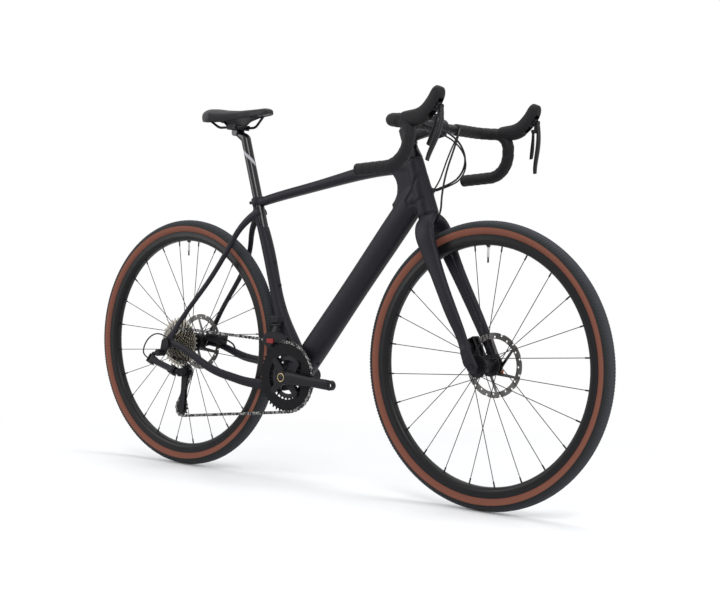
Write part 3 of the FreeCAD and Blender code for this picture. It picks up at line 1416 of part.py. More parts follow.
def make_saddle_clamp():
    """Lower cradle block and upper plate that grip the rails, and the clamp bolt."""
    clamp = clamp_centre()
    level = clamp.z + rail_rise
    lower = Part.makeBox(30.0, 58.0, level - clamp.z - 7.0, Vector(clamp.x - 15.0, -29.0, clamp.z + 7.0))
    upper = Part.makeBox(34.0, 58.0, 6.5, Vector(clamp.x - 17.0, -29.0, level + clamp_split))
    cuts = [disc(clamp, -30.0, 30.0, cradle_radius + running_fit)]
    cuts += [make_rail(side, rail_radius + running_fit) for side in (1, -1)]
    bolt = cylinder(Vector(clamp.x, 0, clamp.z + cradle_radius + 1.0), Vector(clamp.x, 0, level + 10.0), 3.0)
    plates = [lower.cut(cuts), upper.cut(cuts + [bolt])]
    return [plates[0].fuse(bolt), plates[1]]


def saddle_row(share, half_width, top, half_height):
    """One loft station of the saddle at a share of its length from the rear."""
    return (saddle_rear_x + share * saddle_length, 0, saddle_top + top - half_height, half_width, half_height)


def make_saddle():
    """Short-nosed saddle: crowned cushion with drawn-in sides, hollow below for the rails."""
    wide = saddle_width / 2
    tall = saddle_thickness / 2
    form = limb([saddle_row(0.0, wide - 60, -12, tall - 17), saddle_row(0.05, wide - 37, -3, tall - 9),
                 saddle_row(0.15, wide - 14, 2, tall - 4), saddle_row(0.27, wide, 0, tall - 2),
                 saddle_row(0.42, wide - 16, -5, tall - 4), saddle_row(0.58, wide - 38, -7, tall - 9),
                 saddle_row(0.75, wide - 50, -5, tall - 12), saddle_row(0.93, wide - 55, -4, tall - 13.5),
                 saddle_row(1.0, wide - 63, -11, tall - 18)], 2.5)
    below = -18.0
    hollow = limb([saddle_row(0.10, wide - 40, below, tall - 6), saddle_row(0.18, wide - 20, below, tall - 1),
                   saddle_row(0.30, wide - 11, below - 3, tall), saddle_row(0.45, wide - 27, below - 5, tall),
                   saddle_row(0.60, wide - 47, below - 4, tall),
                   saddle_row(0.74, wide - 58, below - 2, tall - 6)], 2.5)
    holes = [make_rail(side, rail_radius + running_fit) for side in (1, -1)]
    shell = form.cut([hollow] + holes)
    return max(shell.Solids, key=lambda solid: solid.Volume)


def bottle_bolt(surface, outward):
    """Button head bolt that stands on a tube."""
    return cylinder(surface - outward * 3.0, surface + outward * 2.6, 4.2)


def make_frame_bolts(frame):
    """Bottle bolts on seat tube and down tube, and the seat clamp's bolt barrel."""
    front = Vector(seat_up.z, 0, -seat_up.x)
    bolts = []
    for height in (crank_z + 178.0, crank_z + 238.0, crank_z + 300.0):
        bolts.append(bottle_bolt(on_seat_axis(height) + front * (seat_tube_radius + 0.6), front))
    down_start = crank_axis + Vector(0, 0, 4.0)
    down_end = on_steering_axis((head_tube_bottom + head_tube_top) / 2 - 4.0)
    heading = (down_end - down_start).normalize()
    upward = Vector(-heading.z, 0, heading.x)
    for share in (0.36, 0.46, 0.56):
        bolts.append(bottle_bolt(along(down_start, down_end, share) + upward * 33.5, upward))
    bolts.append(bottle_bolt(along(down_start, down_end, 0.11) - upward * 34.0, upward * -1))
    collar = on_seat_axis(seat_tube_top - 9.0) - front * (seat_tube_radius + 3.5)
    bolts.append(disc(collar, -11.0, 11.0, 4.5))
    bore = cylinder(on_seat_axis(seat_tube_top - 60.0), on_seat_axis(seat_tube_top + 30.0),
                    post_radius + running_fit)
    seated = [bolt.cut([frame, bore]) for bolt in bolts]
    return [max(piece.Solids, key=lambda solid: solid.Volume) for piece in seated]


def trimmed(rod, *neighbours):
    """A cord cut back to the surfaces that it enters."""
    return max(rod.cut(list(neighbours)).Solids, key=lambda solid: solid.Volume)


def route(*points):
    """List of points of a cord, chosen by hand."""
    return [Vector(*point) for point in points]


def make_control_hoses(frame):
    """Rear brake hose and two gear housings from the bar into the head tube's port."""
    brake = route((370, -77, 935), (376, -52, 932), (384, -20, 926), (394, 14, 913), (401, 44, 890),
                  (402, 62, 856), (392, 60, 822), (373, 46, 797), (342, 16, 780))
    rear_gear = route((366, -77, 926), (374, -50, 921), (385, -16, 914), (396, 18, 900), (404, 48, 874),
                      (403, 64, 840), (390, 59, 808), (370, 42, 791), (344, 19, 778))
    front_gear = route((367, 76, 926), (368, 65, 911), (365, 52, 888), (359, 40, 856), (354, 31, 826),
                       (349, 23, 800), (341, 14, 781))
    return [trimmed(cord("rear brake hose", brake, hose_radius), frame),
            trimmed(cord("rear gear housing", rear_gear, housing_radius), frame),
            trimmed(cord("front gear housing", front_gear, housing_radius), frame)]


def make_front_brake_hose(fork):
    """Front brake hose from the bar, in front of the head tube, into the fork crown."""
    points = route((370, 76, 936), (379, 61, 926), (384, 44, 902), (383, 29, 870), (377, 18, 834),
                   (372, 11, 796), (370, 6, 758), (372, 3, 726), (360, 2, 698))
    return trimmed(cord("front brake hose", points, hose_radius), fork)


def make_rear_hose(frame, caliper):
    """Rear brake hose from the left chainstay to the caliper."""
    stay = rear_axle + Vector(133, 67, -28)
    points = [stay, stay + Vector(-2, -3, 22), stay + Vector(-16, -8, 34), stay + Vector(-42, -10, 42)]
    return trimmed(cord("caliper hose", points, hose_radius), frame, caliper)


def make_gear_cables(frame, knuckle):
    """Rear gear housing loop behind the dropout, and the front gear cable up the seat tube."""
    axle = rear_axle
    loop = [axle + Vector(*offset) for offset in (
        (0, -76, 14), (-22, -77, 24), (-50, -80, 24), (-74, -84, 8), (-85, -90, -18), (-78, -95, -41),
        (-46, -96, -50))]
    start = on_seat_axis(crank_z + 56.0) - Y_AXIS * 12.0
    end = shifter_pivot() + Vector(-6, 7.5, shifter_block_rise - free_gap)
    cable = [start, start + Vector(-6, -20, 26), end - Vector(0, 0, 20), end]
    return [trimmed(cord("rear gear loop", loop, housing_radius), frame, knuckle),
            trimmed(cord("front gear cable", cable, cable_radius), frame)]


def save_pair(name, shape):
    """Save a left-hand piece and its mirrored right-hand one."""
    save("left_" + name, shape)
    save("right_" + name, mirrored(shape))


def build():
    """Make and save every sub-part."""
    os.makedirs("parts", exist_ok=True)
    make_wheel("front", front_axle, front_left_flange, front_right_flange, front_rotor_y,
               front_right_flange + 6.0)
    make_wheel("rear", rear_axle, rear_left_flange, rear_right_flange, rear_rotor_y,
               rear_right_flange + 4.0)
    cage_angle = settle_cage()
    rollers, phases, _ = chain_route(cage_angle)
    print("chain links", len(rollers), "cage angle %.2f" % math.degrees(cage_angle))
    save("chain", *make_chain(rollers))
    save("cassette", *make_cassette(phases[3]))
    rings, bolts = make_chainrings(phases[0])
    save("outer_chainring", rings[0], *bolts)
    save("inner_chainring", rings[1])
    right_arm, left_arm = make_crank_arms()
    save("right_crank_arm", right_arm)
    save("left_crank_arm", left_arm)

    frame = make_main_frame()
    fork = make_fork()
    save("main_frame", frame)
    save("frame_bearings", *make_frame_bearings())
    save("frame_bolts", *make_frame_bolts(frame))
    save("fork", fork)
    front_reach = front_hub_width / 2 + front_dropout_thickness
    rear_reach = rear_hub_width / 2 + dropout_thickness
    save("front_thru_axle", *make_axle(front_axle, front_hub_width, front_reach, front_reach))
    save("rear_thru_axle", *make_axle(rear_axle, rear_hub_width, rear_reach, rear_reach + hanger_thickness))
    front_caliper, front_pads = make_caliper(True)
    rear_caliper, rear_pads = make_caliper(False)
    for prefix, caliper, pads in (("front", front_caliper, front_pads), ("rear", rear_caliper, rear_pads)):
        save(prefix + "_caliper", caliper)
        save(prefix + "_inner_pad", pads[0])
        save(prefix + "_outer_pad", pads[1])

    save("headset_spacers", *make_headset_spacers(), make_top_cap())
    stem, faceplate, stem_bolts = make_stem()
    save("stem", stem, *stem_bolts)
    save("stem_faceplate", faceplate)
    save("handlebar", make_handlebar())
    tape = make_tape_side()
    save("bar_tape", *tape, *[mirrored(piece) for piece in tape])
    bracket, hood = make_lever_body()
    save("lever_brackets", bracket, mirrored(bracket))
    save("lever_hoods", hood, mirrored(hood))
    save_pair("lever_yoke", make_yoke())
    save_pair("lever_blade", make_blade())
    save_pair("shift_paddle", make_paddle())

    knuckle = make_knuckle()
    save("derailleur_hanger", make_hanger())
    save("derailleur_knuckle", knuckle)
    save("derailleur_outer_link", make_link(-1))
    save("derailleur_inner_link", make_link(1))
    save("derailleur_carrier", make_carrier())
    save("derailleur_cage", make_cage(cage_angle))
    save("guide_pulley", make_pulley(guide_centre(), phases[2]))
    save("tension_pulley", make_pulley(tension_centre(cage_angle), phases[1]))
    save("front_derailleur_body", make_front_derailleur_body(frame))
    save("front_derailleur_cage", make_front_derailleur_cage())

    save("seatpost", make_seatpost())
    save("saddle_clamp", *make_saddle_clamp())
    save("saddle", make_saddle())
    save("saddle_rails", *[make_rail(side, rail_radius) for side in (1, -1)])

    save("control_hoses", *make_control_hoses(frame))
    save("front_brake_hose", make_front_brake_hose(fork))
    save("rear_brake_hose", make_rear_hose(frame, rear_caliper))
    save("gear_cables", *make_gear_cables(frame, knuckle))


build()
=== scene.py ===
import logging
import math
from dataclasses import dataclass
from enum import Enum

import bpy
import numpy as np
from mathutils import Matrix, Vector


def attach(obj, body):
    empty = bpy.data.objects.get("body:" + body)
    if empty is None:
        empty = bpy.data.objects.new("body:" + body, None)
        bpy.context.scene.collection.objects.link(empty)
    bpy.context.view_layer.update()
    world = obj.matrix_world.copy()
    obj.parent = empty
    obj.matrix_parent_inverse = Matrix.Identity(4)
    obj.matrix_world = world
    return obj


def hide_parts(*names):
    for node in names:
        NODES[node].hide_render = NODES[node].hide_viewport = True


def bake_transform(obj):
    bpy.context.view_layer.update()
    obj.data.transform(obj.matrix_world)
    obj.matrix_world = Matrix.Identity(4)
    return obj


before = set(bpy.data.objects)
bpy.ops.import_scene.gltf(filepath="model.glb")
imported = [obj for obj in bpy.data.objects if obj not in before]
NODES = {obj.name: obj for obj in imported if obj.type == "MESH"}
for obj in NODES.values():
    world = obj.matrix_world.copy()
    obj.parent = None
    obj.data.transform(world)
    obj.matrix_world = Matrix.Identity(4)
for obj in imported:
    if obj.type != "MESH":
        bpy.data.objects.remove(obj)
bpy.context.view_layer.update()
LOG = logging.getLogger("gravel_bike")
MM = 0.001

# Sizes of the bike in millimetres.
WHEEL_RADIUS = 352.0
AXLE_X = 518.0
LINE_STEP = 1.2
HEAD_CREASE = ((331.8, 845.6), (313.4, 811.2), (292.9, 769.6), (282.5, 753.0), (289.5, 740.0),
               (311.2, 746.8), (332.6, 757.0))

# Gaps below which vertices are joined, in metres, and the angle above which an edge stays sharp.
NODE_WELD_GAP = 0.000005
SKIN_WELD_GAP = 0.00002
SHARP_EDGE = math.radians(32.0)

# Values that all materials share.
PLAIN_SPECULAR = 0.16
COAT_ROUGHNESS = 0.18
RELIEF_DETAIL = 3.0
RELIEF_STRENGTH = 0.6
# Scale, detail and ramp edges of the painted highlights on the chain: bright glints mixed in by noise.
GLINTS_PER_METRE = 190.0
GLINT_DETAIL = 1.0
GLINT_EDGES = (0.47, 0.58)

# How finely curves are divided.
SPLINE_STEPS = 14
ARC_STEPS = 40

Array = np.ndarray
Colour = tuple[float, float, float]
Point = tuple[float, float, float]


class Surface(Enum):
    """How fine the small relief of a finish is, in waves per metre."""

    PLAIN = 0.0
    CAST = 900.0
    PAINT = 420.0
    RUBBER = 1500.0
    LEATHER = 2300.0


@dataclass(frozen=True)
class Finish:
    """One even finish: a colour with its gloss and a small relief."""

    name: str
    colour: Colour
    roughness: float
    metallic: float = 0.0
    coat: float = 0.0
    surface: Surface = Surface.PLAIN
    relief: float = 0.0
    specular: float = PLAIN_SPECULAR
    # Colour of painted highlights: bright glints spread over the base colour by noise.
    painted_glint: Colour | None = None

    def material(self) -> bpy.types.Material:
        """Make the material, or return it if it is already made.

        Returns:
            The material, with its relief on Object coordinates.
        """
        made = bpy.data.materials.get(self.name)
        if made:
            return made
        made = bpy.data.materials.new(self.name)
        made.use_nodes = True
        shader = made.node_tree.nodes["Principled BSDF"]
        shader.inputs["Base Color"].default_value = (*self.colour, 1.0)
        shader.inputs["Roughness"].default_value = self.roughness
        shader.inputs["Metallic"].default_value = self.metallic
        shader.inputs["Specular IOR Level"].default_value = self.specular
        shader.inputs["Coat Weight"].default_value = self.coat
        shader.inputs["Coat Roughness"].default_value = COAT_ROUGHNESS
        if self.relief > 0.0:
            add_relief(made, shader, self.surface.value, self.relief)
        # Painted highlights: bright glints mixed into the base colour.
        if self.painted_glint:
            add_painted_glints(made, shader, self.colour, self.painted_glint)
        return made


def add_relief(material: bpy.types.Material, shader: bpy.types.ShaderNode, scale: float,
               height: float) -> None:
    """Bump a shader with fine noise on Object coordinates.

    Args:
        material: The material whose node tree is used.
        shader: The node whose Normal socket gets the bump.
        scale: Noise waves per metre.
        height: Height of the relief in metres.
    """
    tree = material.node_tree
    place = tree.nodes.new("ShaderNodeTexCoord")
    noise = tree.nodes.new("ShaderNodeTexNoise")
    noise.inputs["Scale"].default_value = scale
    noise.inputs["Detail"].default_value = RELIEF_DETAIL
    bump = tree.nodes.new("ShaderNodeBump")
    bump.inputs["Strength"].default_value = RELIEF_STRENGTH
    bump.inputs["Distance"].default_value = height
    tree.links.new(place.outputs["Object"], noise.inputs["Vector"])
    tree.links.new(noise.outputs["Fac"], bump.inputs["Height"])
    tree.links.new(bump.outputs["Normal"], shader.inputs["Normal"])


def add_painted_glints(material: bpy.types.Material, shader: bpy.types.ShaderNode, dark: Colour,
               bright: Colour) -> None:
    """Mix dark and bright spots by noise on Object coordinates: the bright spots are painted highlights,
    glints on a chain's links.

    Args:
        material: The material whose node tree is used.
        shader: The node whose Base Color socket gets the spots.
        dark: The chain's own colour between the glints.
        bright: Colour of the painted highlights.
    """
    tree = material.node_tree
    place = tree.nodes.new("ShaderNodeTexCoord")
    noise = tree.nodes.new("ShaderNodeTexNoise")
    noise.inputs["Scale"].default_value = GLINTS_PER_METRE
    noise.inputs["Detail"].default_value = GLINT_DETAIL
    ramp = tree.nodes.new("ShaderNodeValToRGB")
    for stop, share, colour in zip(ramp.color_ramp.elements, GLINT_EDGES, (dark, bright)):
        stop.position = share
        stop.color = (*colour, 1.0)
    tree.links.new(place.outputs["Object"], noise.inputs["Vector"])
    tree.links.new(noise.outputs["Fac"], ramp.inputs["Fac"])
    tree.links.new(ramp.outputs["Color"], shader.inputs["Base Color"])


SATIN_PAINT = Finish("satin_black_paint", (0.0090, 0.0082, 0.0125), 0.48, 0.0, 0.0, Surface.PAINT, 0.00004)
GLOSS_BLACK = Finish("gloss_black_lacquer", (0.004, 0.004, 0.006), 0.16, specular=0.34)
BLACK_ALLOY = Finish("black_anodised_alloy", (0.012, 0.012, 0.014), 0.42, 0.35, 0.0, Surface.CAST, 0.00003)
RING_BLACK = Finish("black_chainring", (0.004, 0.004, 0.005), 0.40, specular=0.10)
RIM_BLACK = Finish("satin_black_rim", (0.007, 0.007, 0.008), 0.34)
BLACK_STEEL = Finish("black_coated_steel", (0.014, 0.014, 0.016), 0.36, 0.5)
GREY_ALLOY = Finish("dark_grey_alloy", (0.026, 0.026, 0.030), 0.34, 0.7)
LEVER_BLACK = Finish("black_lever_lacquer", (0.006, 0.006, 0.008), 0.24, 0.0, 0.06)
SILVER_ALLOY = Finish("bright_alloy", (0.46, 0.46, 0.47), 0.30, 1.0)
ROTOR_STEEL = Finish("brushed_disc_steel", (0.13, 0.125, 0.12), 0.34, 1.0)
SPROCKET_STEEL = Finish("nickel_sprocket_steel", (0.36, 0.34, 0.30), 0.30, 1.0)
# Dark oiled chain steel with painted highlights: the bright spots stand in for light glinting on the links.
CHAIN_STEEL_AND_GLINTS = Finish("oiled_chain_steel_and_glints", (0.030, 0.030, 0.032), 0.30, 1.0, painted_glint=(0.27, 0.265, 0.26))
RUBBER = Finish("black_hood_rubber", (0.0085, 0.0085, 0.0095), 0.60, 0.0, 0.0, Surface.RUBBER, 0.00010)
TAPE = Finish("black_bar_tape", (0.0095, 0.0095, 0.0105), 0.62, 0.0, 0.0, Surface.RUBBER, 0.00014)
COVER = Finish("saddle_cover", (0.0150, 0.0150, 0.0175), 0.44, 0.0, 0.0, Surface.LEATHER, 0.00006)
PLASTIC = Finish("black_moulded_plastic", (0.008, 0.008, 0.009), 0.40)
HOSE = Finish("black_hose_sleeve", (0.008, 0.008, 0.009), 0.36)
PAD = Finish("friction_pad", (0.08, 0.07, 0.06), 0.75)
RED_PLASTIC = Finish("red_setting_block", (0.22, 0.020, 0.020), 0.36)
ORANGE_PLASTIC = Finish("orange_tab", (0.42, 0.085, 0.020), 0.40)
GOLD_RING = Finish("gold_ring", (0.50, 0.38, 0.20), 0.28, 1.0)
PALE_PRINT = Finish("pale_grey_stripe", (0.36, 0.35, 0.38), 0.32)


def unit(vectors: Array) -> Array:
    """Scale vectors along the last axis to length one."""
    return vectors / np.linalg.norm(vectors, axis=-1, keepdims=True)


def grid_object(name: str, points: Array, finish: Finish, loop_rows: bool = False,
                loop_columns: bool = True, caps: bool = False) -> bpy.types.Object:
    """Make a mesh object from a grid of points: one quad between each two rows and columns.

    Args:
        name: Object name.
        points: Array of rows by columns by 3, in metres.
        finish: Finish for the whole piece.
        loop_rows: Whether the last row joins the first.
        loop_columns: Whether the last column joins the first.
        caps: Whether the first and last rows are closed with one face each.

    Returns:
        The linked object, smooth shaded, with the grid's two parameters as its UV map.
    """
    rows, columns = points.shape[:2]
    row, column = np.meshgrid(np.arange(rows if loop_rows else rows - 1),
                              np.arange(columns if loop_columns else columns - 1), indexing="ij")
    corner_rows = np.stack([row, row, row + 1, row + 1], -1).reshape(-1, 4)
    corner_columns = np.stack([column, column + 1, column + 1, column], -1).reshape(-1, 4)
    faces = ((corner_rows % rows) * columns + corner_columns % columns).tolist()
    spread = np.stack([corner_rows / rows, corner_columns / columns], -1).reshape(-1, 2)
    if caps:
        faces.append(list(range(columns - 1, -1, -1)))
        faces.append(list(range((rows - 1) * columns, rows * columns)))
        spread = np.concatenate([spread, np.zeros((2 * columns, 2))])
    mesh = bpy.data.meshes.new(name)
    mesh.from_pydata(points.reshape(-1, 3).tolist(), [], faces)
    layer = mesh.uv_layers.new(name="UVMap")
    layer.data.foreach_set("uv", spread.astype(np.float32).ravel())
    mesh.shade_smooth()
    mesh.materials.append(finish.material())
    piece = bpy.data.objects.new(name, mesh)
    bpy.context.scene.collection.objects.link(piece)
    return piece


def flip_if_inside_out(piece: bpy.types.Object) -> bpy.types.Object:
    """Turn the faces round if the closed mesh has a negative volume: the sum of each face's signed cone.

    Args:
        piece: A closed mesh object.

    Returns:
        The same object.
    """
    mesh = piece.data
    mesh.calc_loop_triangles()
    places = np.empty(len(mesh.vertices) * 3)
    mesh.vertices.foreach_get("co", places)
    corners = np.empty(len(mesh.loop_triangles) * 3, np.int32)
    mesh.loop_triangles.foreach_get("vertices", corners)
    triangles = places.reshape(-1, 3)[corners.reshape(-1, 3)]
    volume = np.einsum("ij,ij->i", triangles[:, 0], np.cross(triangles[:, 1], triangles[:, 2])).sum()
    if volume < 0.0:
        mesh.flip_normals()
    return piece


def ring_frames(path: Array, hint: Point) -> tuple[Array, Array]:
    """Two directions across a path: the first is square to the tangent and the hint, the second to both.

    Args:
        path: Points along the path.
        hint: A direction that the path never runs along.

    Returns:
        The two unit directions at each point.
    """
    tangent = unit(np.gradient(path, axis=0))
    side = unit(np.cross(tangent, np.array(hint)))
    return side, np.cross(side, tangent)


def sweep(name: str, path: Array, radius: float | Array, finish: Finish, hint: Point,
          sides: int = 20) -> bpy.types.Object:
    """Carry a circle along a path: path + radius * (cos * side + sin * up).

    Args:
        name: Object name.
        path: Points along the path.
        radius: One radius, a radius for each point, or one for each point and side.
        finish: Finish for the whole piece.
        hint: A direction that the path never runs along.
        sides: Corners of the circle.

    Returns:
        The closed rod.
    """
    side, up = ring_frames(path, hint)
    angle = np.linspace(0.0, 2.0 * np.pi, sides, endpoint=False)
    around = np.cos(angle)[None, :, None] * side[:, None, :] + np.sin(angle)[None, :, None] * up[:, None, :]
    size = np.asarray(radius, float)
    size = size.reshape(size.shape + (1,) * (2 - size.ndim)) if size.ndim else np.full((1, 1), float(size))
    piece = grid_object(name, path[:, None, :] + size[:, :, None] * around, finish, caps=True)
    return flip_if_inside_out(piece)


def spline_points(points: list[Point]) -> Array:
    """Points along a smooth spline whose control points are a cord's route.

    Args:
        points: Control points in millimetres.

    Returns:
        Points along the spline, in metres.
    """
    curve = bpy.data.curves.new("route", "CURVE")
    curve.dimensions = "3D"
    curve.resolution_u = SPLINE_STEPS
    spline = curve.splines.new("NURBS")
    spline.points.add(len(points) - 1)
    control = np.ones((len(points), 4))
    control[:, :3] = np.array(points, float) * MM
    spline.points.foreach_set("co", control.ravel())
    spline.order_u = 3
    spline.use_endpoint_u = True
    holder = bpy.data.objects.new("route", curve)
    line = bpy.data.meshes.new_from_object(holder)
    places = np.empty(len(line.vertices) * 3)
    line.vertices.foreach_get("co", places)
    bpy.data.objects.remove(holder)
    bpy.data.curves.remove(curve)
    bpy.data.meshes.remove(line)
    return places.reshape(-1, 3)


def bent_line(points: list[Point], radii: tuple[float, ...], step: float = LINE_STEP) -> Array:
    """Straight runs joined by arcs, as a tube is bent.

    Args:
        points: Corner points in millimetres.
        radii: Bend radius at each inner corner, in millimetres.
        step: Distance between points, in millimetres.

    Returns:
        Points at even distances, in metres.
    """
    corners = [np.array(point, float) for point in points]
    runs = [corners[0][None, :]]
    for before, corner, after, radius in zip(corners, corners[1:], corners[2:], radii):
        back, onward = unit(before - corner), unit(after - corner)
        half_turn = (math.pi - math.acos(float(back @ onward))) / 2.0
        inward = unit(back + onward)
        centre = corner + inward * radius / math.cos(half_turn)
        sweep_angle = np.linspace(-half_turn, half_turn, ARC_STEPS)[:, None]
        swing = np.cos(sweep_angle) * inward - np.sin(sweep_angle) * unit(onward - back)
        runs.append(centre - radius * swing)
    runs.append(corners[-1][None, :])
    line = np.concatenate(runs)
    length = np.concatenate([[0.0], np.cumsum(np.linalg.norm(np.diff(line, axis=0), axis=1))])
    even = np.linspace(0.0, length[-1], int(length[-1] / step))
    return np.stack([np.interp(even, length, line[:, axis]) for axis in range(3)], -1) * MM


def disc_piece(name: str, centre: Point, axis: Point, radius: float, height: float,
               finish: Finish) -> bpy.types.Object:
    """Short round button with a rounded edge: the radius falls as the square root near its top.

    Args:
        name: Object name.
        centre: Foot of the button in millimetres.
        axis: Direction in which it stands.
        radius: Radius in millimetres.
        height: Height in millimetres.
        finish: Finish for the whole piece.

    Returns:
        The closed button.
    """
    share = np.linspace(0.0, 1.0, 8)
    hint = (0.0, 0.0, 1.0) if abs(axis[2]) < 0.9 else (1.0, 0.0, 0.0)
    path = np.array(centre) * MM + share[:, None] * unit(np.array(axis, float)) * height * MM
    size = radius * MM * (0.8 + 0.2 * np.sqrt(1.0 - share ** 4))
    return sweep(name, path, size, finish, hint, 32)


# The bands lie between two distances from the axle in metres: each band's share of the way, and its colour.
# Tan wall and dark tread are the tyre's own colours; the tread's last two stops grow lighter and bluer
# towards the crown, a painted sheen where light falls on the tread.
TYRE_BAND_RADII = (0.310, 0.354)
TYRE_BANDS_AND_SHEEN: tuple[tuple[float, Colour], ...] = (
    (0.0, (0.007, 0.007, 0.007)), (0.17, (0.007, 0.007, 0.007)), (0.20, (0.150, 0.052, 0.034)),
    (0.50, (0.172, 0.062, 0.040)), (0.54, (0.138, 0.050, 0.034)), (0.57, (0.010, 0.011, 0.011)),
    (0.72, (0.018, 0.020, 0.022)), (1.0, (0.040, 0.041, 0.049)))


@dataclass
class Tyre:
    """Gravel tyre: tan side walls below a dark tread with fine blocks. Sizes in millimetres."""

    node: str
    body: str
    axle_x: float
    radius: float = WHEEL_RADIUS
    half_width: float = 20.0
    wall: float = 2.6
    wall_foot: float = 12.4
    tan_radius: float = 334.0
    tread_start: float = 1.5
    tread_run: float = 2.0
    blocks: int = 260
    shoulder_rise: float = 1.7
    crown_rise: float = 0.9
    crown_waves: float = 26.0
    slant: float = 0.03
    shoulder_start: float = 0.42
    shoulder_run: float = 0.2
    section_points: int = 73
    steps_per_block: int = 4
    roughness: float = 0.66
    relief: float = 0.2

    def profile(self) -> tuple[Array, Array]:
        """Closed section: out over the tread from bead to bead, then back inside the wall.

        Returns:
            The (y, radius) of each point in millimetres, and how much tread each point carries from 0 to 1.
        """
        middle = self.radius - self.half_width
        reach = math.pi - math.asin(self.wall_foot / self.half_width)
        angle = np.linspace(-reach, reach, self.section_points)
        outer = np.stack([self.half_width * np.sin(angle), middle + self.half_width * np.cos(angle)], -1)
        small = self.half_width - self.wall
        inner = np.stack([small * np.sin(angle[::-6]), middle + small * np.cos(angle[::-6])], -1)
        tread = np.clip((outer[:, 1] - self.tan_radius - self.tread_start) / self.tread_run, 0.0, 1.0)
        return np.concatenate([outer, inner]), np.concatenate([tread, np.zeros(len(inner))])

    def surface(self) -> Array:
        """Section turned about the axle, with slanted blocks that stand about 2 mm on the shoulders.

        Returns:
            Points of the tyre in metres, one row for each step round the wheel.
        """
        section, tread = self.profile()
        turn = np.linspace(0.0, 2.0 * np.pi, self.blocks * self.steps_per_block, endpoint=False)[:, None]
        across = section[None, :, 0] / self.half_width
        wave = np.sin(self.blocks * (turn + self.slant * np.abs(across)) + np.pi * (across > 0))
        shoulder = np.clip((np.abs(across) - self.shoulder_start) / self.shoulder_run, 0.0, 1.0)
        rows = np.sin(across * self.crown_waves) * np.sin(self.blocks * turn)
        blocky = np.clip(wave * 2.5, -0.6, 0.6)
        rise = self.shoulder_rise * shoulder * blocky + self.crown_rise * (1.0 - shoulder) * rows
        size = section[None, :, 1] + tread * (rise - self.crown_rise)
        width = np.broadcast_to(section[None, :, 0], size.shape)
        points = np.stack([self.axle_x + size * np.sin(turn), width, self.radius + size * np.cos(turn)], -1)
        return points * MM

    def material(self) -> bpy.types.Material:
        """Tan wall and dark tread, parted by the distance from the axle on Object coordinates, with a
        painted sheen that lightens the tread towards its crown.
        """
        made = bpy.data.materials.new(self.node + "_rubber")
        made.use_nodes = True
        tree = made.node_tree
        shader = tree.nodes["Principled BSDF"]
        shader.inputs["Roughness"].default_value = self.roughness
        shader.inputs["Specular IOR Level"].default_value = PLAIN_SPECULAR
        place = tree.nodes.new("ShaderNodeTexCoord")
        centre = tree.nodes.new("ShaderNodeMapping")
        centre.inputs["Location"].default_value = (-self.axle_x * MM, 0.0, -self.radius * MM)
        flat = tree.nodes.new("ShaderNodeVectorMath")
        flat.operation = "MULTIPLY"
        flat.inputs[1].default_value = (1.0, 0.0, 1.0)
        length = tree.nodes.new("ShaderNodeVectorMath")
        length.operation = "LENGTH"
        ramp = tree.nodes.new("ShaderNodeValToRGB")
        spread = tree.nodes.new("ShaderNodeMapRange")
        spread.inputs["From Min"].default_value = TYRE_BAND_RADII[0]
        spread.inputs["From Max"].default_value = TYRE_BAND_RADII[1]
        while len(ramp.color_ramp.elements) < len(TYRE_BANDS_AND_SHEEN):
            ramp.color_ramp.elements.new(1.0)
        for stop, (share, colour) in zip(ramp.color_ramp.elements, TYRE_BANDS_AND_SHEEN):
            stop.position = share
            stop.color = (*colour, 1.0)
        tree.links.new(place.outputs["Object"], centre.inputs["Vector"])
        tree.links.new(centre.outputs["Vector"], flat.inputs[0])
        tree.links.new(flat.outputs["Vector"], length.inputs[0])
        tree.links.new(length.outputs["Value"], spread.inputs["Value"])
        tree.links.new(spread.outputs["Result"], ramp.inputs["Fac"])
        tree.links.new(ramp.outputs["Color"], shader.inputs["Base Color"])
        add_relief(made, shader, Surface.RUBBER.value, self.relief * MM)
        return made

    def build(self) -> bpy.types.Object:
        """Make the tyre in place of its solid."""
        piece = grid_object(self.node + "_rubber", self.surface(), RUBBER, loop_rows=True)
        piece.data.materials[0] = self.material()
        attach(flip_if_inside_out(piece), self.body)
        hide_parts(self.node)
        return piece


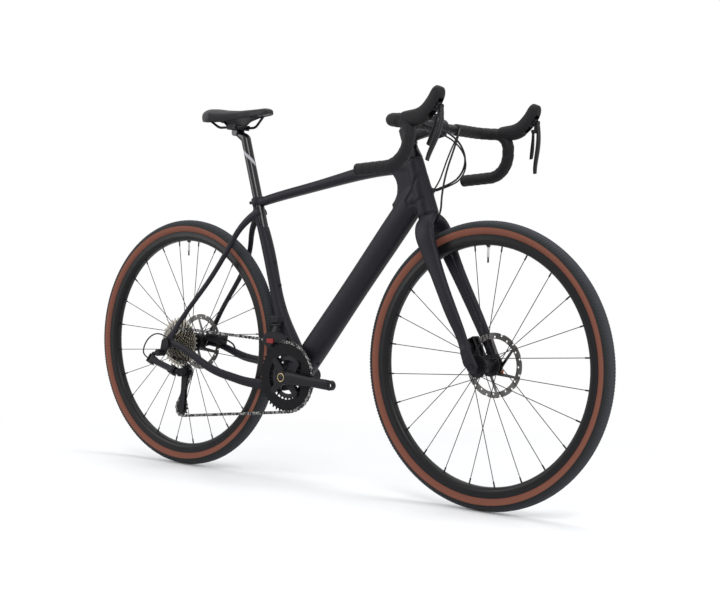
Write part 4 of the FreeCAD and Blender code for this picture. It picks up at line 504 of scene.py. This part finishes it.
@dataclass
class BarTape:
    """Wound tape on both halves of the drop bar. Sizes in millimetres."""

    bar_x: float = 355.0
    bar_z: float = 935.0
    half_width: float = 205.0
    reach: float = 75.0
    drop: float = 119.0
    end_x: float = 286.0
    flare: float = 16.0
    start_y: float = 78.0
    radius: float = 14.9
    pitch: float = 21.0
    lap: float = 0.85
    bends: tuple[float, ...] = (36.0, 38.0, 64.0)
    plug_radius: float = 15.4
    plug_length: float = 4.0
    band_rise: float = 0.15
    sides: int = 40

    def line(self, side: int) -> Array:
        """Middle line of one half of the bar, from the tape's start to the end plug.

        Args:
            side: 1 for the left half, -1 for the right half.

        Returns:
            Points in metres.
        """
        x, z, wide = self.bar_x, self.bar_z, self.half_width
        corners = [(x, side * self.start_y, z),
                   (x, side * wide, z),
                   (x + self.reach + 2.0, side * (wide + 1.0), z - 4.0),
                   (x + self.reach - 6.0, side * (wide + self.flare * 0.75), z - self.drop + 10.0),
                   (self.end_x, side * (wide + self.flare), z - self.drop)]
        return bent_line(corners, self.bends)

    def build(self) -> list[bpy.types.Object]:
        """Wind the tape: the radius falls along each turn of a helix, so every turn overlaps the last.

        Returns:
            The wound tape, the end plug and the finishing band of each half.
        """
        pieces = []
        angle = np.linspace(0.0, 1.0, self.sides, endpoint=False)[None, :]
        for side, word in ((1, "left"), (-1, "right")):
            path = self.line(side)
            hint = (0.3, -0.8 * side, 0.5)
            distance = np.arange(len(path))[:, None] * LINE_STEP
            turn = np.mod(distance / self.pitch + side * angle, 1.0)
            step = np.clip(turn * 9.0, 0.0, 1.0) - turn
            size = (self.radius + self.lap * (step - 0.3)) * MM
            size = np.where(distance < 6.0, (self.radius - 0.6) * MM, size)
            tape = sweep(word + "_wound_tape", path, size, TAPE, hint, self.sides)
            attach(tape, "steering")
            out = unit(path[-1] - path[-2])
            share = np.linspace(0.0, 1.0, 10)
            plug_path = path[-1] + share[:, None] * out * self.plug_length * MM
            plug_size = self.plug_radius * MM * np.sqrt(1.0 - 0.35 * share ** 3)
            plug = sweep(word + "_end_plug", plug_path, plug_size, PLASTIC, (0.0, 0.0, 1.0), 32)
            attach(plug, "steering")
            band_size = (self.radius + self.band_rise) * MM
            band = sweep(word + "_tape_band", path[2:14], band_size, PLASTIC, hint, 32)
            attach(band, "steering")
            pieces += [tape, plug, band]
        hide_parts("bar_tape")
        return pieces


@dataclass
class Saddle:
    """Short-nosed saddle with a crowned, padded top. Sizes in millimetres."""

    rear_x: float = -455.0
    length: float = 250.0
    top: float = 1014.0
    shares: tuple[float, ...] = (0.0, 0.02, 0.05, 0.15, 0.27, 0.42, 0.58, 0.75, 0.93, 0.98, 1.0)
    half_widths: tuple[float, ...] = (10.0, 24.0, 36.0, 59.0, 73.0, 57.0, 35.0, 23.0, 18.0, 13.0, 6.0)
    tops: tuple[float, ...] = (-6.0, -4.0, -2.0, 2.0, 0.0, -5.0, -7.0, -5.0, -4.0, -7.0, -11.0)
    skirts: tuple[float, ...] = (-14.0, -20.0, -28.0, -38.0, -42.0, -41.0, -34.0, -27.0, -23.0, -21.0,
                                 -18.0)
    groove_depth: float = 2.2
    groove_width: float = 9.0
    row_count: int = 120
    floor_columns: int = 25

    def rows(self, values: tuple[float, ...], count: int) -> Array:
        """Smooth curve through the station values: straight lines between them, run through a short mean.

        Args:
            values: One value for each station.
            count: Number of rows along the saddle.

        Returns:
            One value for each row.
        """
        share = self.row_shares(count)
        fine_shares = np.linspace(-0.05, 1.05, 1321)
        fine = np.interp(fine_shares, self.shares, values)
        window = np.hanning(101)
        smooth = np.convolve(np.pad(fine, 50, mode="edge"), window / window.sum(), mode="valid")
        blend = np.clip(np.minimum(share, 1.0 - share) / 0.07, 0.0, 1.0)
        sharp = np.interp(share, self.shares, values)
        return blend * np.interp(share, fine_shares, smooth) + (1.0 - blend) * sharp

    def row_shares(self, count: int) -> Array:
        """Rows along the saddle, closer together at both ends."""
        return 0.5 - 0.5 * np.cos(np.linspace(0.0, np.pi, count))

    def surface(self) -> Array:
        """Shell of the saddle: half a superellipse above, drawn-in skirt, and a raised floor below.

        Returns:
            Points in metres, one row across for each step along the saddle.
        """
        count = self.row_count
        share = self.row_shares(count)[:, None]
        wide = self.rows(self.half_widths, count)[:, None]
        crown = self.top + self.rows(self.tops, count)[:, None]
        skirt = self.top + self.rows(self.skirts, count)[:, None]
        angle = np.linspace(0.0, np.pi, 49)[None, :]
        across = np.sign(np.cos(angle)) * np.abs(np.cos(angle)) ** 0.72
        height = np.abs(np.sin(angle)) ** 0.86
        pull = 1.0 - 0.10 * (1.0 - height) ** 2
        groove = self.groove_depth * np.exp(-(across * wide / self.groove_width) ** 2)
        groove = groove * np.clip((share - 0.2) / 0.15, 0.0, 1.0) * np.clip((0.9 - share) / 0.15, 0.0, 1.0)
        upper_y = wide * across * pull
        upper_z = skirt + (crown - skirt) * height - groove
        inside = np.linspace(-0.9, 0.9, self.floor_columns)[None, :]
        lower_y = wide * inside
        hollow = 0.62 * (crown - skirt) * (1.0 - np.abs(inside / 0.9) ** 4)
        lower_z = skirt + 1.0 + hollow * np.clip(np.minimum(share, 0.80 - share) / 0.1, 0.0, 1.0)
        y = np.concatenate([upper_y, np.broadcast_to(lower_y, (count, self.floor_columns))], 1)
        z = np.concatenate([upper_z, np.broadcast_to(lower_z, (count, self.floor_columns))], 1)
        x = np.broadcast_to(self.rear_x + self.length * share, y.shape)
        return np.stack([x, y, z], -1) * MM

    def build(self) -> bpy.types.Object:
        """Make the padded saddle in place of its solid."""
        piece = flip_if_inside_out(grid_object("saddle_cushion", self.surface(), COVER, caps=True))
        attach(piece, "saddle")
        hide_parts("saddle")
        return piece


@dataclass
class BlendedSkin:
    """Copy of a moulded solid with softened inner corners. Voxel in metres, crease in millimetres."""

    node: str
    body: str
    voxel: float
    rounds: int
    finish: Finish
    slot_name: str
    crease: tuple[tuple[float, float], ...] = ()
    crease_depth: float = 3.0
    crease_width: float = 3.6
    crease_clear: float = 8.0
    smooth_share: float = 0.5

    def press(self, mesh: bpy.types.Mesh) -> None:
        """Press a groove into both flanks: depth * exp(-(distance to the line / width) squared).

        Args:
            mesh: The skin, whose vertices near the (x, z) line move towards the middle plane.
        """
        places = np.empty(len(mesh.vertices) * 3)
        mesh.vertices.foreach_get("co", places)
        points = places.reshape(-1, 3)
        line = np.array(self.crease) * MM
        run = np.diff(line, axis=0)
        offset = points[:, None, ::2] - line[None, :-1]
        share = np.clip((offset * run).sum(-1) / (run * run).sum(-1), 0.0, 1.0)
        gap = np.linalg.norm(offset - share[:, :, None] * run, axis=-1).min(1) / (self.crease_width * MM)
        fade = np.clip(np.abs(points[:, 1]) / (self.crease_clear * MM) - 1.0, 0.0, 1.0)
        points[:, 1] -= np.sign(points[:, 1]) * fade * self.crease_depth * MM * np.exp(-gap ** 2)
        mesh.vertices.foreach_set("co", points.ravel())
        mesh.update()

    def build(self) -> bpy.types.Object:
        """Remesh the solid at an even size and smooth it, so that its parts flow into each other.

        Returns:
            The smooth piece that stands for the node.
        """
        mesh = NODES[self.node].data.copy()
        mesh.name = self.node + "_skin"
        piece = bpy.data.objects.new(self.node + "_skin", mesh)
        bpy.context.scene.collection.objects.link(piece)
        weld = piece.modifiers.new("weld", "WELD")
        weld.merge_threshold = SKIN_WELD_GAP
        remesh = piece.modifiers.new("remesh", "REMESH")
        remesh.mode = "VOXEL"
        remesh.voxel_size = self.voxel
        smooth = piece.modifiers.new("smooth", "SMOOTH")
        smooth.factor = self.smooth_share
        smooth.iterations = self.rounds
        depsgraph = bpy.context.evaluated_depsgraph_get()
        done = bpy.data.meshes.new_from_object(piece.evaluated_get(depsgraph))
        piece.modifiers.clear()
        piece.data = done
        bpy.data.meshes.remove(mesh)
        done.name = self.node + "_skin"
        done.materials.clear()
        done.materials.append(self.finish.material())
        done.shade_smooth()
        if self.crease:
            self.press(done)
        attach(piece, self.body)
        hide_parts(self.node)
        return piece


@dataclass
class Hose:
    """Hose or housing that leaves the bike at one place and enters it at another. Sizes in millimetres."""

    name: str
    radius: float
    length: float
    route: tuple[Point, ...]

    def build(self) -> bpy.types.Object:
        line = spline_points(list(self.route))
        piece = sweep(self.name, line, self.radius * MM, HOSE, (0.55, 0.45, 0.7), 16)
        return piece


@dataclass
class Hoses:
    """All hoses and housings that show outside the frame."""

    port: Point = (0.342, 0.016, 0.782)
    bar: Point = (0.386, 0.016, 0.915)
    control: tuple[Hose, ...] = (
        Hose("rear_brake_hose_loop", 2.5, 287.0, (
            (370, -77, 935), (376, -52, 932), (384, -20, 926), (394, 14, 913), (401, 44, 890),
            (402, 62, 856), (392, 60, 822), (373, 46, 797), (342, 16, 780))),
        Hose("rear_gear_housing_loop", 2.0, 281.0, (
            (366, -77, 926), (374, -50, 921), (385, -16, 914), (396, 18, 900), (404, 48, 874),
            (403, 64, 840), (390, 59, 808), (370, 42, 791), (344, 19, 778))),
        Hose("front_gear_housing_loop", 2.0, 162.0, (
            (367, 76, 926), (368, 65, 911), (365, 52, 888), (359, 40, 856), (354, 31, 826), (349, 23, 800),
            (341, 14, 781))))
    fixed: tuple[tuple[str, str, Hose], ...] = (
        ("front_brake_hose", "steering", Hose("front_brake_hose_run", 2.5, 262.0, (
            (370, 76, 936), (379, 61, 926), (384, 44, 902), (383, 29, 870), (377, 18, 834), (372, 11, 796),
            (370, 6, 758), (372, 3, 726), (360, 2, 698)))),
        ("rear_brake_hose", "frame", Hose("rear_brake_hose_run", 2.5, 68.0, (
            (-385, 67, 324), (-387, 64, 346), (-401, 59, 358), (-427, 57, 366)))),
        ("gear_cables", "frame", Hose("rear_gear_housing_run", 2.0, 164.0, (
            (-518, -76, 366), (-540, -77, 376), (-568, -80, 376), (-592, -84, 360), (-603, -90, 334),
            (-596, -95, 311), (-564, -96, 302)))),
        ("gear_cables", "frame", Hose("front_gear_cable_run", 0.9, 97.0, (
            (-120.4, -12, 340), (-126.4, -32, 366), (-147.9, -23.5, 405.7), (-147.9, -23.5, 425.7)))))

    def build(self) -> list[bpy.types.Object]:
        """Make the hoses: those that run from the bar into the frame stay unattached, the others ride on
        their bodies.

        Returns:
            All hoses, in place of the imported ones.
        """
        pieces = []
        for hose in self.control:
            piece = hose.build()
            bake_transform(piece)
            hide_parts("control_hoses")
            pieces.append(piece)
        for node, body, hose in self.fixed:
            piece = hose.build()
            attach(piece, body)
            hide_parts(node)
            pieces.append(piece)
        return pieces


@dataclass
class SmallParts:
    """Coloured blocks, valve sleeves, crank bolt and seatpost stripe of the photo. Sizes in millimetres."""

    crank: Point = (-85.31, 0.0, 284.0)
    seat_lean: float = math.radians(73.0)
    stripe_height: float = 590.0
    stripe_width: float = 13.0
    stripe_rise: float = 19.0
    stripe_turn: tuple[float, float] = (-130.0, 8.0)
    stripe_radii: tuple[float, float] = (13.75, 13.62)
    seat_foot: Point = (-103.31, 0.0, 284.0)
    valve_top: float = 640.0
    valve_length: float = 26.0
    valve_radius: float = 3.2
    red_box: tuple[Point, Point] = ((-152.0, -57.4, 372.0), (-128.0, -54.2, 384.0))
    tab_box: tuple[Point, Point] = ((524.0, 50.5, 327.0), (537.0, 53.0, 342.0))

    def keep(self, piece: bpy.types.Object, body: str) -> bpy.types.Object:
        """Let a piece ride on a body."""
        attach(piece, body)
        return piece

    def block(self, name: str, low: Point, high: Point,
              finish: Finish) -> bpy.types.Object:
        """Box with rounded edges: a sphere's directions raised to a power and scaled to the box.

        Args:
            name: Object name.
            low: Lowest corner in millimetres.
            high: Highest corner in millimetres.
            finish: Finish for the whole piece.

        Returns:
            The closed block.
        """
        tilt = np.linspace(-0.5 * np.pi, 0.5 * np.pi, 25)[1:-1, None]
        turn = np.linspace(0.0, 2.0 * np.pi, 40, endpoint=False)[None, :]
        shape = np.stack([np.cos(tilt) * np.cos(turn), np.cos(tilt) * np.sin(turn),
                          np.broadcast_to(np.sin(tilt), (23, 40))], -1)
        shape = np.sign(shape) * np.abs(shape) ** 0.28
        middle = (np.array(low) + np.array(high)) / 2.0
        half = (np.array(high) - np.array(low)) / 2.0
        return flip_if_inside_out(grid_object(name, (middle + shape * half) * MM, finish, caps=True))

    def ring(self, name: str, centre: Point, radius: float, thick: float,
             finish: Finish) -> bpy.types.Object:
        """Ring about a line along Y: a small circle turned round a large one.

        Args:
            name: Object name.
            centre: Middle of the ring in millimetres.
            radius: Radius of the large circle.
            thick: Radius of the small circle.
            finish: Finish for the whole piece.

        Returns:
            The closed ring.
        """
        turn = np.linspace(0.0, 2.0 * np.pi, 64, endpoint=False)[:, None]
        small = np.linspace(0.0, 2.0 * np.pi, 14, endpoint=False)[None, :]
        size = radius + thick * np.cos(small)
        across = centre[1] + np.broadcast_to(thick * np.sin(small), (64, 14))
        points = np.stack([centre[0] + size * np.cos(turn), across, centre[2] + size * np.sin(turn)], -1)
        return flip_if_inside_out(grid_object(name, points * MM, finish, loop_rows=True))

    def valve_sleeve(self, name: str, axle_x: float) -> bpy.types.Object:
        """Bright sleeve round the valve stem at the top of a wheel.

        Args:
            name: Object name.
            axle_x: Where the wheel's axle lies.

        Returns:
            The closed sleeve.
        """
        top = np.array([axle_x, 0.0, self.valve_top]) * MM
        path = top - np.linspace(0.0, 1.0, 8)[:, None] * np.array([0.0, 0.0, self.valve_length]) * MM
        return sweep(name, path, self.valve_radius * MM, SILVER_ALLOY, (0.0, 1.0, 0.0), 24)

    def stripe(self) -> bpy.types.Object:
        """Slanted pale stripe on the seatpost: a band of a cylinder whose height falls round the post.

        Returns:
            The thin closed band.
        """
        along = np.linspace(0.0, 1.0, 24)[:, None]
        turn = np.radians(np.linspace(*self.stripe_turn, 48))[None, :]
        lean = np.array([-math.cos(self.seat_lean), 0.0, math.sin(self.seat_lean)])
        side = np.array([lean[2], 0.0, -lean[0]])
        foot = np.array(self.seat_foot) + lean * self.stripe_height
        height = self.stripe_width * along + self.stripe_rise * (turn.max() - turn)
        around = np.cos(turn)[:, :, None] * side + np.sin(turn)[:, :, None] * np.array([0.0, 1.0, 0.0])
        sheets = [foot + lean * height[:, :, None] + radius * around for radius in self.stripe_radii]
        points = np.concatenate([sheets[0], sheets[1][:, ::-1]], 1)
        return flip_if_inside_out(grid_object("seatpost_stripe", points * MM, PALE_PRINT, caps=True))

    def build(self) -> list[bpy.types.Object]:
        """Make every small part.

        Returns:
            The pieces, in the order in which they are made.
        """
        x, _, z = self.crank
        return [
            self.keep(self.block("front_derailleur_block", *self.red_box, RED_PLASTIC),
                      "front_derailleur_cage"),
            self.keep(self.block("dropout_tab", *self.tab_box, ORANGE_PLASTIC), "steering"),
            self.keep(self.valve_sleeve("front_valve_sleeve", AXLE_X), "front_wheel"),
            self.keep(self.valve_sleeve("rear_valve_sleeve", -AXLE_X), "rear_wheel"),
            self.keep(self.ring("crank_bolt_ring", (x, -70.0, z), 10.5, 1.1, GOLD_RING),
                      "crankset"),
            self.keep(disc_piece("crank_bolt_cap", (x, -66.5, z), (0.0, -1.0, 0.0), 8.6, 3.0, GREY_ALLOY),
                      "crankset"),
            self.keep(self.stripe(), "seatpost"),
        ]


NODE_FINISHES: dict[Finish, tuple[str, ...]] = {
    GLOSS_BLACK: ("seatpost", "headset_spacers"),
    BLACK_ALLOY: ("stem", "stem_faceplate", "handlebar", "left_crank_arm", "right_crank_arm",
                  "derailleur_knuckle", "derailleur_carrier", "derailleur_cage", "front_caliper",
                  "rear_caliper", "front_hub", "rear_hub", "front_thru_axle", "rear_thru_axle",
                  "derailleur_hanger", "saddle_clamp", "frame_bearings", "front_derailleur_body",
                  "front_derailleur_cage", "left_lever_yoke", "right_lever_yoke"),
    RING_BLACK: ("outer_chainring",),
    GREY_ALLOY: ("derailleur_outer_link", "derailleur_inner_link", "inner_chainring"),
    LEVER_BLACK: ("left_lever_blade", "right_lever_blade"),
    RIM_BLACK: ("front_rim", "rear_rim"),
    BLACK_STEEL: ("front_spokes", "rear_spokes", "saddle_rails", "frame_bolts"),
    ROTOR_STEEL: ("front_rotor", "rear_rotor"),
    SPROCKET_STEEL: ("cassette",),
    CHAIN_STEEL_AND_GLINTS: ("chain",),
    PLASTIC: ("guide_pulley", "tension_pulley", "lever_brackets", "left_shift_paddle",
              "right_shift_paddle"),
    PAD: ("front_inner_pad", "front_outer_pad", "rear_inner_pad", "rear_outer_pad"),
}


def dress_nodes() -> None:
    """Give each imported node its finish, and shade its curved faces smoothly between sharp edges."""
    for finish, names in NODE_FINISHES.items():
        for name in names:
            node = NODES[name]
            node.data.materials.clear()
            node.data.materials.append(finish.material())
            node.data.polygons.foreach_set("use_smooth", np.ones(len(node.data.polygons), bool))
            weld = node.modifiers.new("weld", "WELD")
            weld.merge_threshold = NODE_WELD_GAP
            split = node.modifiers.new("edges", "EDGE_SPLIT")
            split.split_angle = SHARP_EDGE


@dataclass
class Studio:
    """Pale floor, white surroundings, soft lamps and the camera of the photo."""

    target: Point = (0.122612, 0.0, 0.498391)
    azimuth: float = 0.68386859
    elevation: float = 0.02734742
    roll: float = 0.02535729
    distance: float = 3.60658
    lens: float = 69.526
    sensor: float = 36.0
    aim_lift: float = 0.05
    sky_colour: Colour = (0.93, 0.96, 1.0)
    sky_strength: float = 0.50
    floor_colour: Colour = (0.86, 0.86, 0.86)
    floor_half: float = 5.0
    floor_z: float = -0.0006
    fade_from: float = 0.75
    fade_to: float = 1.7

    def white_mix(self, tree: bpy.types.NodeTree) -> bpy.types.NodeSocket:
        """Share of rays that see plain white: camera, glossy and transmission rays.

        Args:
            tree: The node tree in which the nodes are made.

        Returns:
            The socket that is 1 for those rays.
        """
        path = tree.nodes.new("ShaderNodeLightPath")
        first = tree.nodes.new("ShaderNodeMath")
        first.operation = "MAXIMUM"
        second = tree.nodes.new("ShaderNodeMath")
        second.operation = "MAXIMUM"
        tree.links.new(path.outputs["Is Camera Ray"], first.inputs[0])
        tree.links.new(path.outputs["Is Transmission Ray"], first.inputs[1])
        tree.links.new(first.outputs[0], second.inputs[0])
        tree.links.new(path.outputs["Is Glossy Ray"], second.inputs[1])
        return second.outputs[0]

    def world(self) -> None:
        """White for the camera, and a soft grey that lights the bike."""
        world = bpy.data.worlds.new("white_room")
        world.use_nodes = True
        bpy.context.scene.world = world
        tree = world.node_tree
        light = tree.nodes["Background"]
        light.inputs["Color"].default_value = (*self.sky_colour, 1.0)
        light.inputs["Strength"].default_value = self.sky_strength
        plain = tree.nodes.new("ShaderNodeBackground")
        plain.inputs["Color"].default_value = (1.0, 1.0, 1.0, 1.0)
        mix = tree.nodes.new("ShaderNodeMixShader")
        tree.links.new(self.white_mix(tree), mix.inputs["Fac"])
        tree.links.new(light.outputs["Background"], mix.inputs[1])
        tree.links.new(plain.outputs["Background"], mix.inputs[2])
        tree.links.new(mix.outputs["Shader"], tree.nodes["World Output"].inputs["Surface"])

    def floor(self) -> bpy.types.Object:
        """Pale floor whose edge fades into white by its distance from the bike on Object coordinates.

        Returns:
            The floor.
        """
        line = np.linspace(-self.floor_half, self.floor_half, 24)
        x, y = np.meshgrid(line, line)
        points = np.stack([x, y, np.full(x.shape, self.floor_z)], -1)
        finish = Finish("studio_floor", self.floor_colour, 0.5, specular=0.25)
        floor = grid_object("studio_floor", points, finish, loop_columns=False)
        tree = finish.material().node_tree
        shader = tree.nodes["Principled BSDF"]
        plain = tree.nodes.new("ShaderNodeEmission")
        place = tree.nodes.new("ShaderNodeTexCoord")
        length = tree.nodes.new("ShaderNodeVectorMath")
        length.operation = "LENGTH"
        fade = tree.nodes.new("ShaderNodeMapRange")
        fade.interpolation_type = "SMOOTHSTEP"
        fade.inputs["From Min"].default_value = self.fade_from
        fade.inputs["From Max"].default_value = self.fade_to
        seen = tree.nodes.new("ShaderNodeMath")
        seen.operation = "MULTIPLY"
        mix = tree.nodes.new("ShaderNodeMixShader")
        tree.links.new(place.outputs["Object"], length.inputs[0])
        tree.links.new(length.outputs["Value"], fade.inputs["Value"])
        tree.links.new(fade.outputs["Result"], seen.inputs[0])
        tree.links.new(self.white_mix(tree), seen.inputs[1])
        tree.links.new(seen.outputs[0], mix.inputs["Fac"])
        tree.links.new(shader.outputs["BSDF"], mix.inputs[1])
        tree.links.new(plain.outputs["Emission"], mix.inputs[2])
        tree.links.new(mix.outputs["Shader"], tree.nodes["Material Output"].inputs["Surface"])
        return floor

    def lamp(self, name: str, place: Point, size: tuple[float, float], power: float) -> None:
        """Soft box that faces the bike.

        Args:
            name: Lamp name.
            place: Where it hangs, in metres.
            size: Width and height in metres.
            power: Power in watts.
        """
        light = bpy.data.lights.new(name, "AREA")
        light.shape = "RECTANGLE"
        light.size, light.size_y = size
        light.energy = power
        lamp = bpy.data.objects.new(name, light)
        facing = Vector(self.target) + Vector((0.0, 0.0, self.aim_lift)) - Vector(place)
        lamp.matrix_world = Matrix.Translation(place) @ facing.to_track_quat("-Z", "Y").to_matrix().to_4x4()
        bpy.context.scene.collection.objects.link(lamp)

    def camera(self) -> None:
        """Camera at the photo's place: back, right and up from its two angles, then rolled."""
        back = Vector((math.sin(self.azimuth) * math.cos(self.elevation),
                       -math.cos(self.azimuth) * math.cos(self.elevation), math.sin(self.elevation)))
        right = Vector((math.cos(self.azimuth), math.sin(self.azimuth), 0.0))
        up = back.cross(right)
        across = right * math.cos(self.roll) + up * math.sin(self.roll)
        rise = up * math.cos(self.roll) - right * math.sin(self.roll)
        data = bpy.data.cameras.new("photo_camera")
        data.sensor_fit = "HORIZONTAL"
        data.sensor_width = self.sensor
        data.lens = self.lens
        camera = bpy.data.objects.new("photo_camera", data)
        turn = Matrix((across, rise, back)).transposed().to_4x4()
        camera.matrix_world = Matrix.Translation(Vector(self.target) + back * self.distance) @ turn
        bpy.context.scene.collection.objects.link(camera)
        bpy.context.scene.camera = camera

    def build(self) -> None:
        """Set up the room, the lamps and the camera."""
        bpy.context.scene.view_settings.view_transform = "Standard"
        self.world()
        self.floor()
        self.lamp("key_box", (2.4, -2.6, 2.9), (2.2, 1.6), 75.0)
        self.lamp("side_box", (-2.4, -2.4, 1.8), (1.6, 2.2), 45.0)
        self.lamp("top_box", (0.0, 0.3, 3.4), (3.0, 1.6), 62.0)
        self.lamp("front_box", (3.4, 0.8, 1.4), (1.4, 2.2), 36.0)
        self.camera()


def main() -> None:
    """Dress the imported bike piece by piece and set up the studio."""
    logging.basicConfig(level=logging.INFO, format="%(message)s")
    Studio().build()
    for piece in Hoses().build():
        LOG.info("hose %s", piece.name)
    dress_nodes()
    skins = (BlendedSkin("main_frame", "frame", 0.0026, 12, SATIN_PAINT, "carbon_paint", HEAD_CREASE),
             BlendedSkin("fork", "steering", 0.0024, 8, SATIN_PAINT, "carbon_paint"),
             BlendedSkin("lever_hoods", "steering", 0.0011, 8, RUBBER, "rubber"))
    for skin in skins:
        LOG.info("skin %s: %d faces", skin.node, len(skin.build().data.polygons))
    for tyre in (Tyre("front_tyre", "front_wheel", AXLE_X), Tyre("rear_tyre", "rear_wheel", -AXLE_X)):
        LOG.info("tyre %s", tyre.build().name)
    for piece in BarTape().build() + [Saddle().build()] + SmallParts().build():
        LOG.info("piece %s", piece.name)


if __name__ == "__main__":
    main()
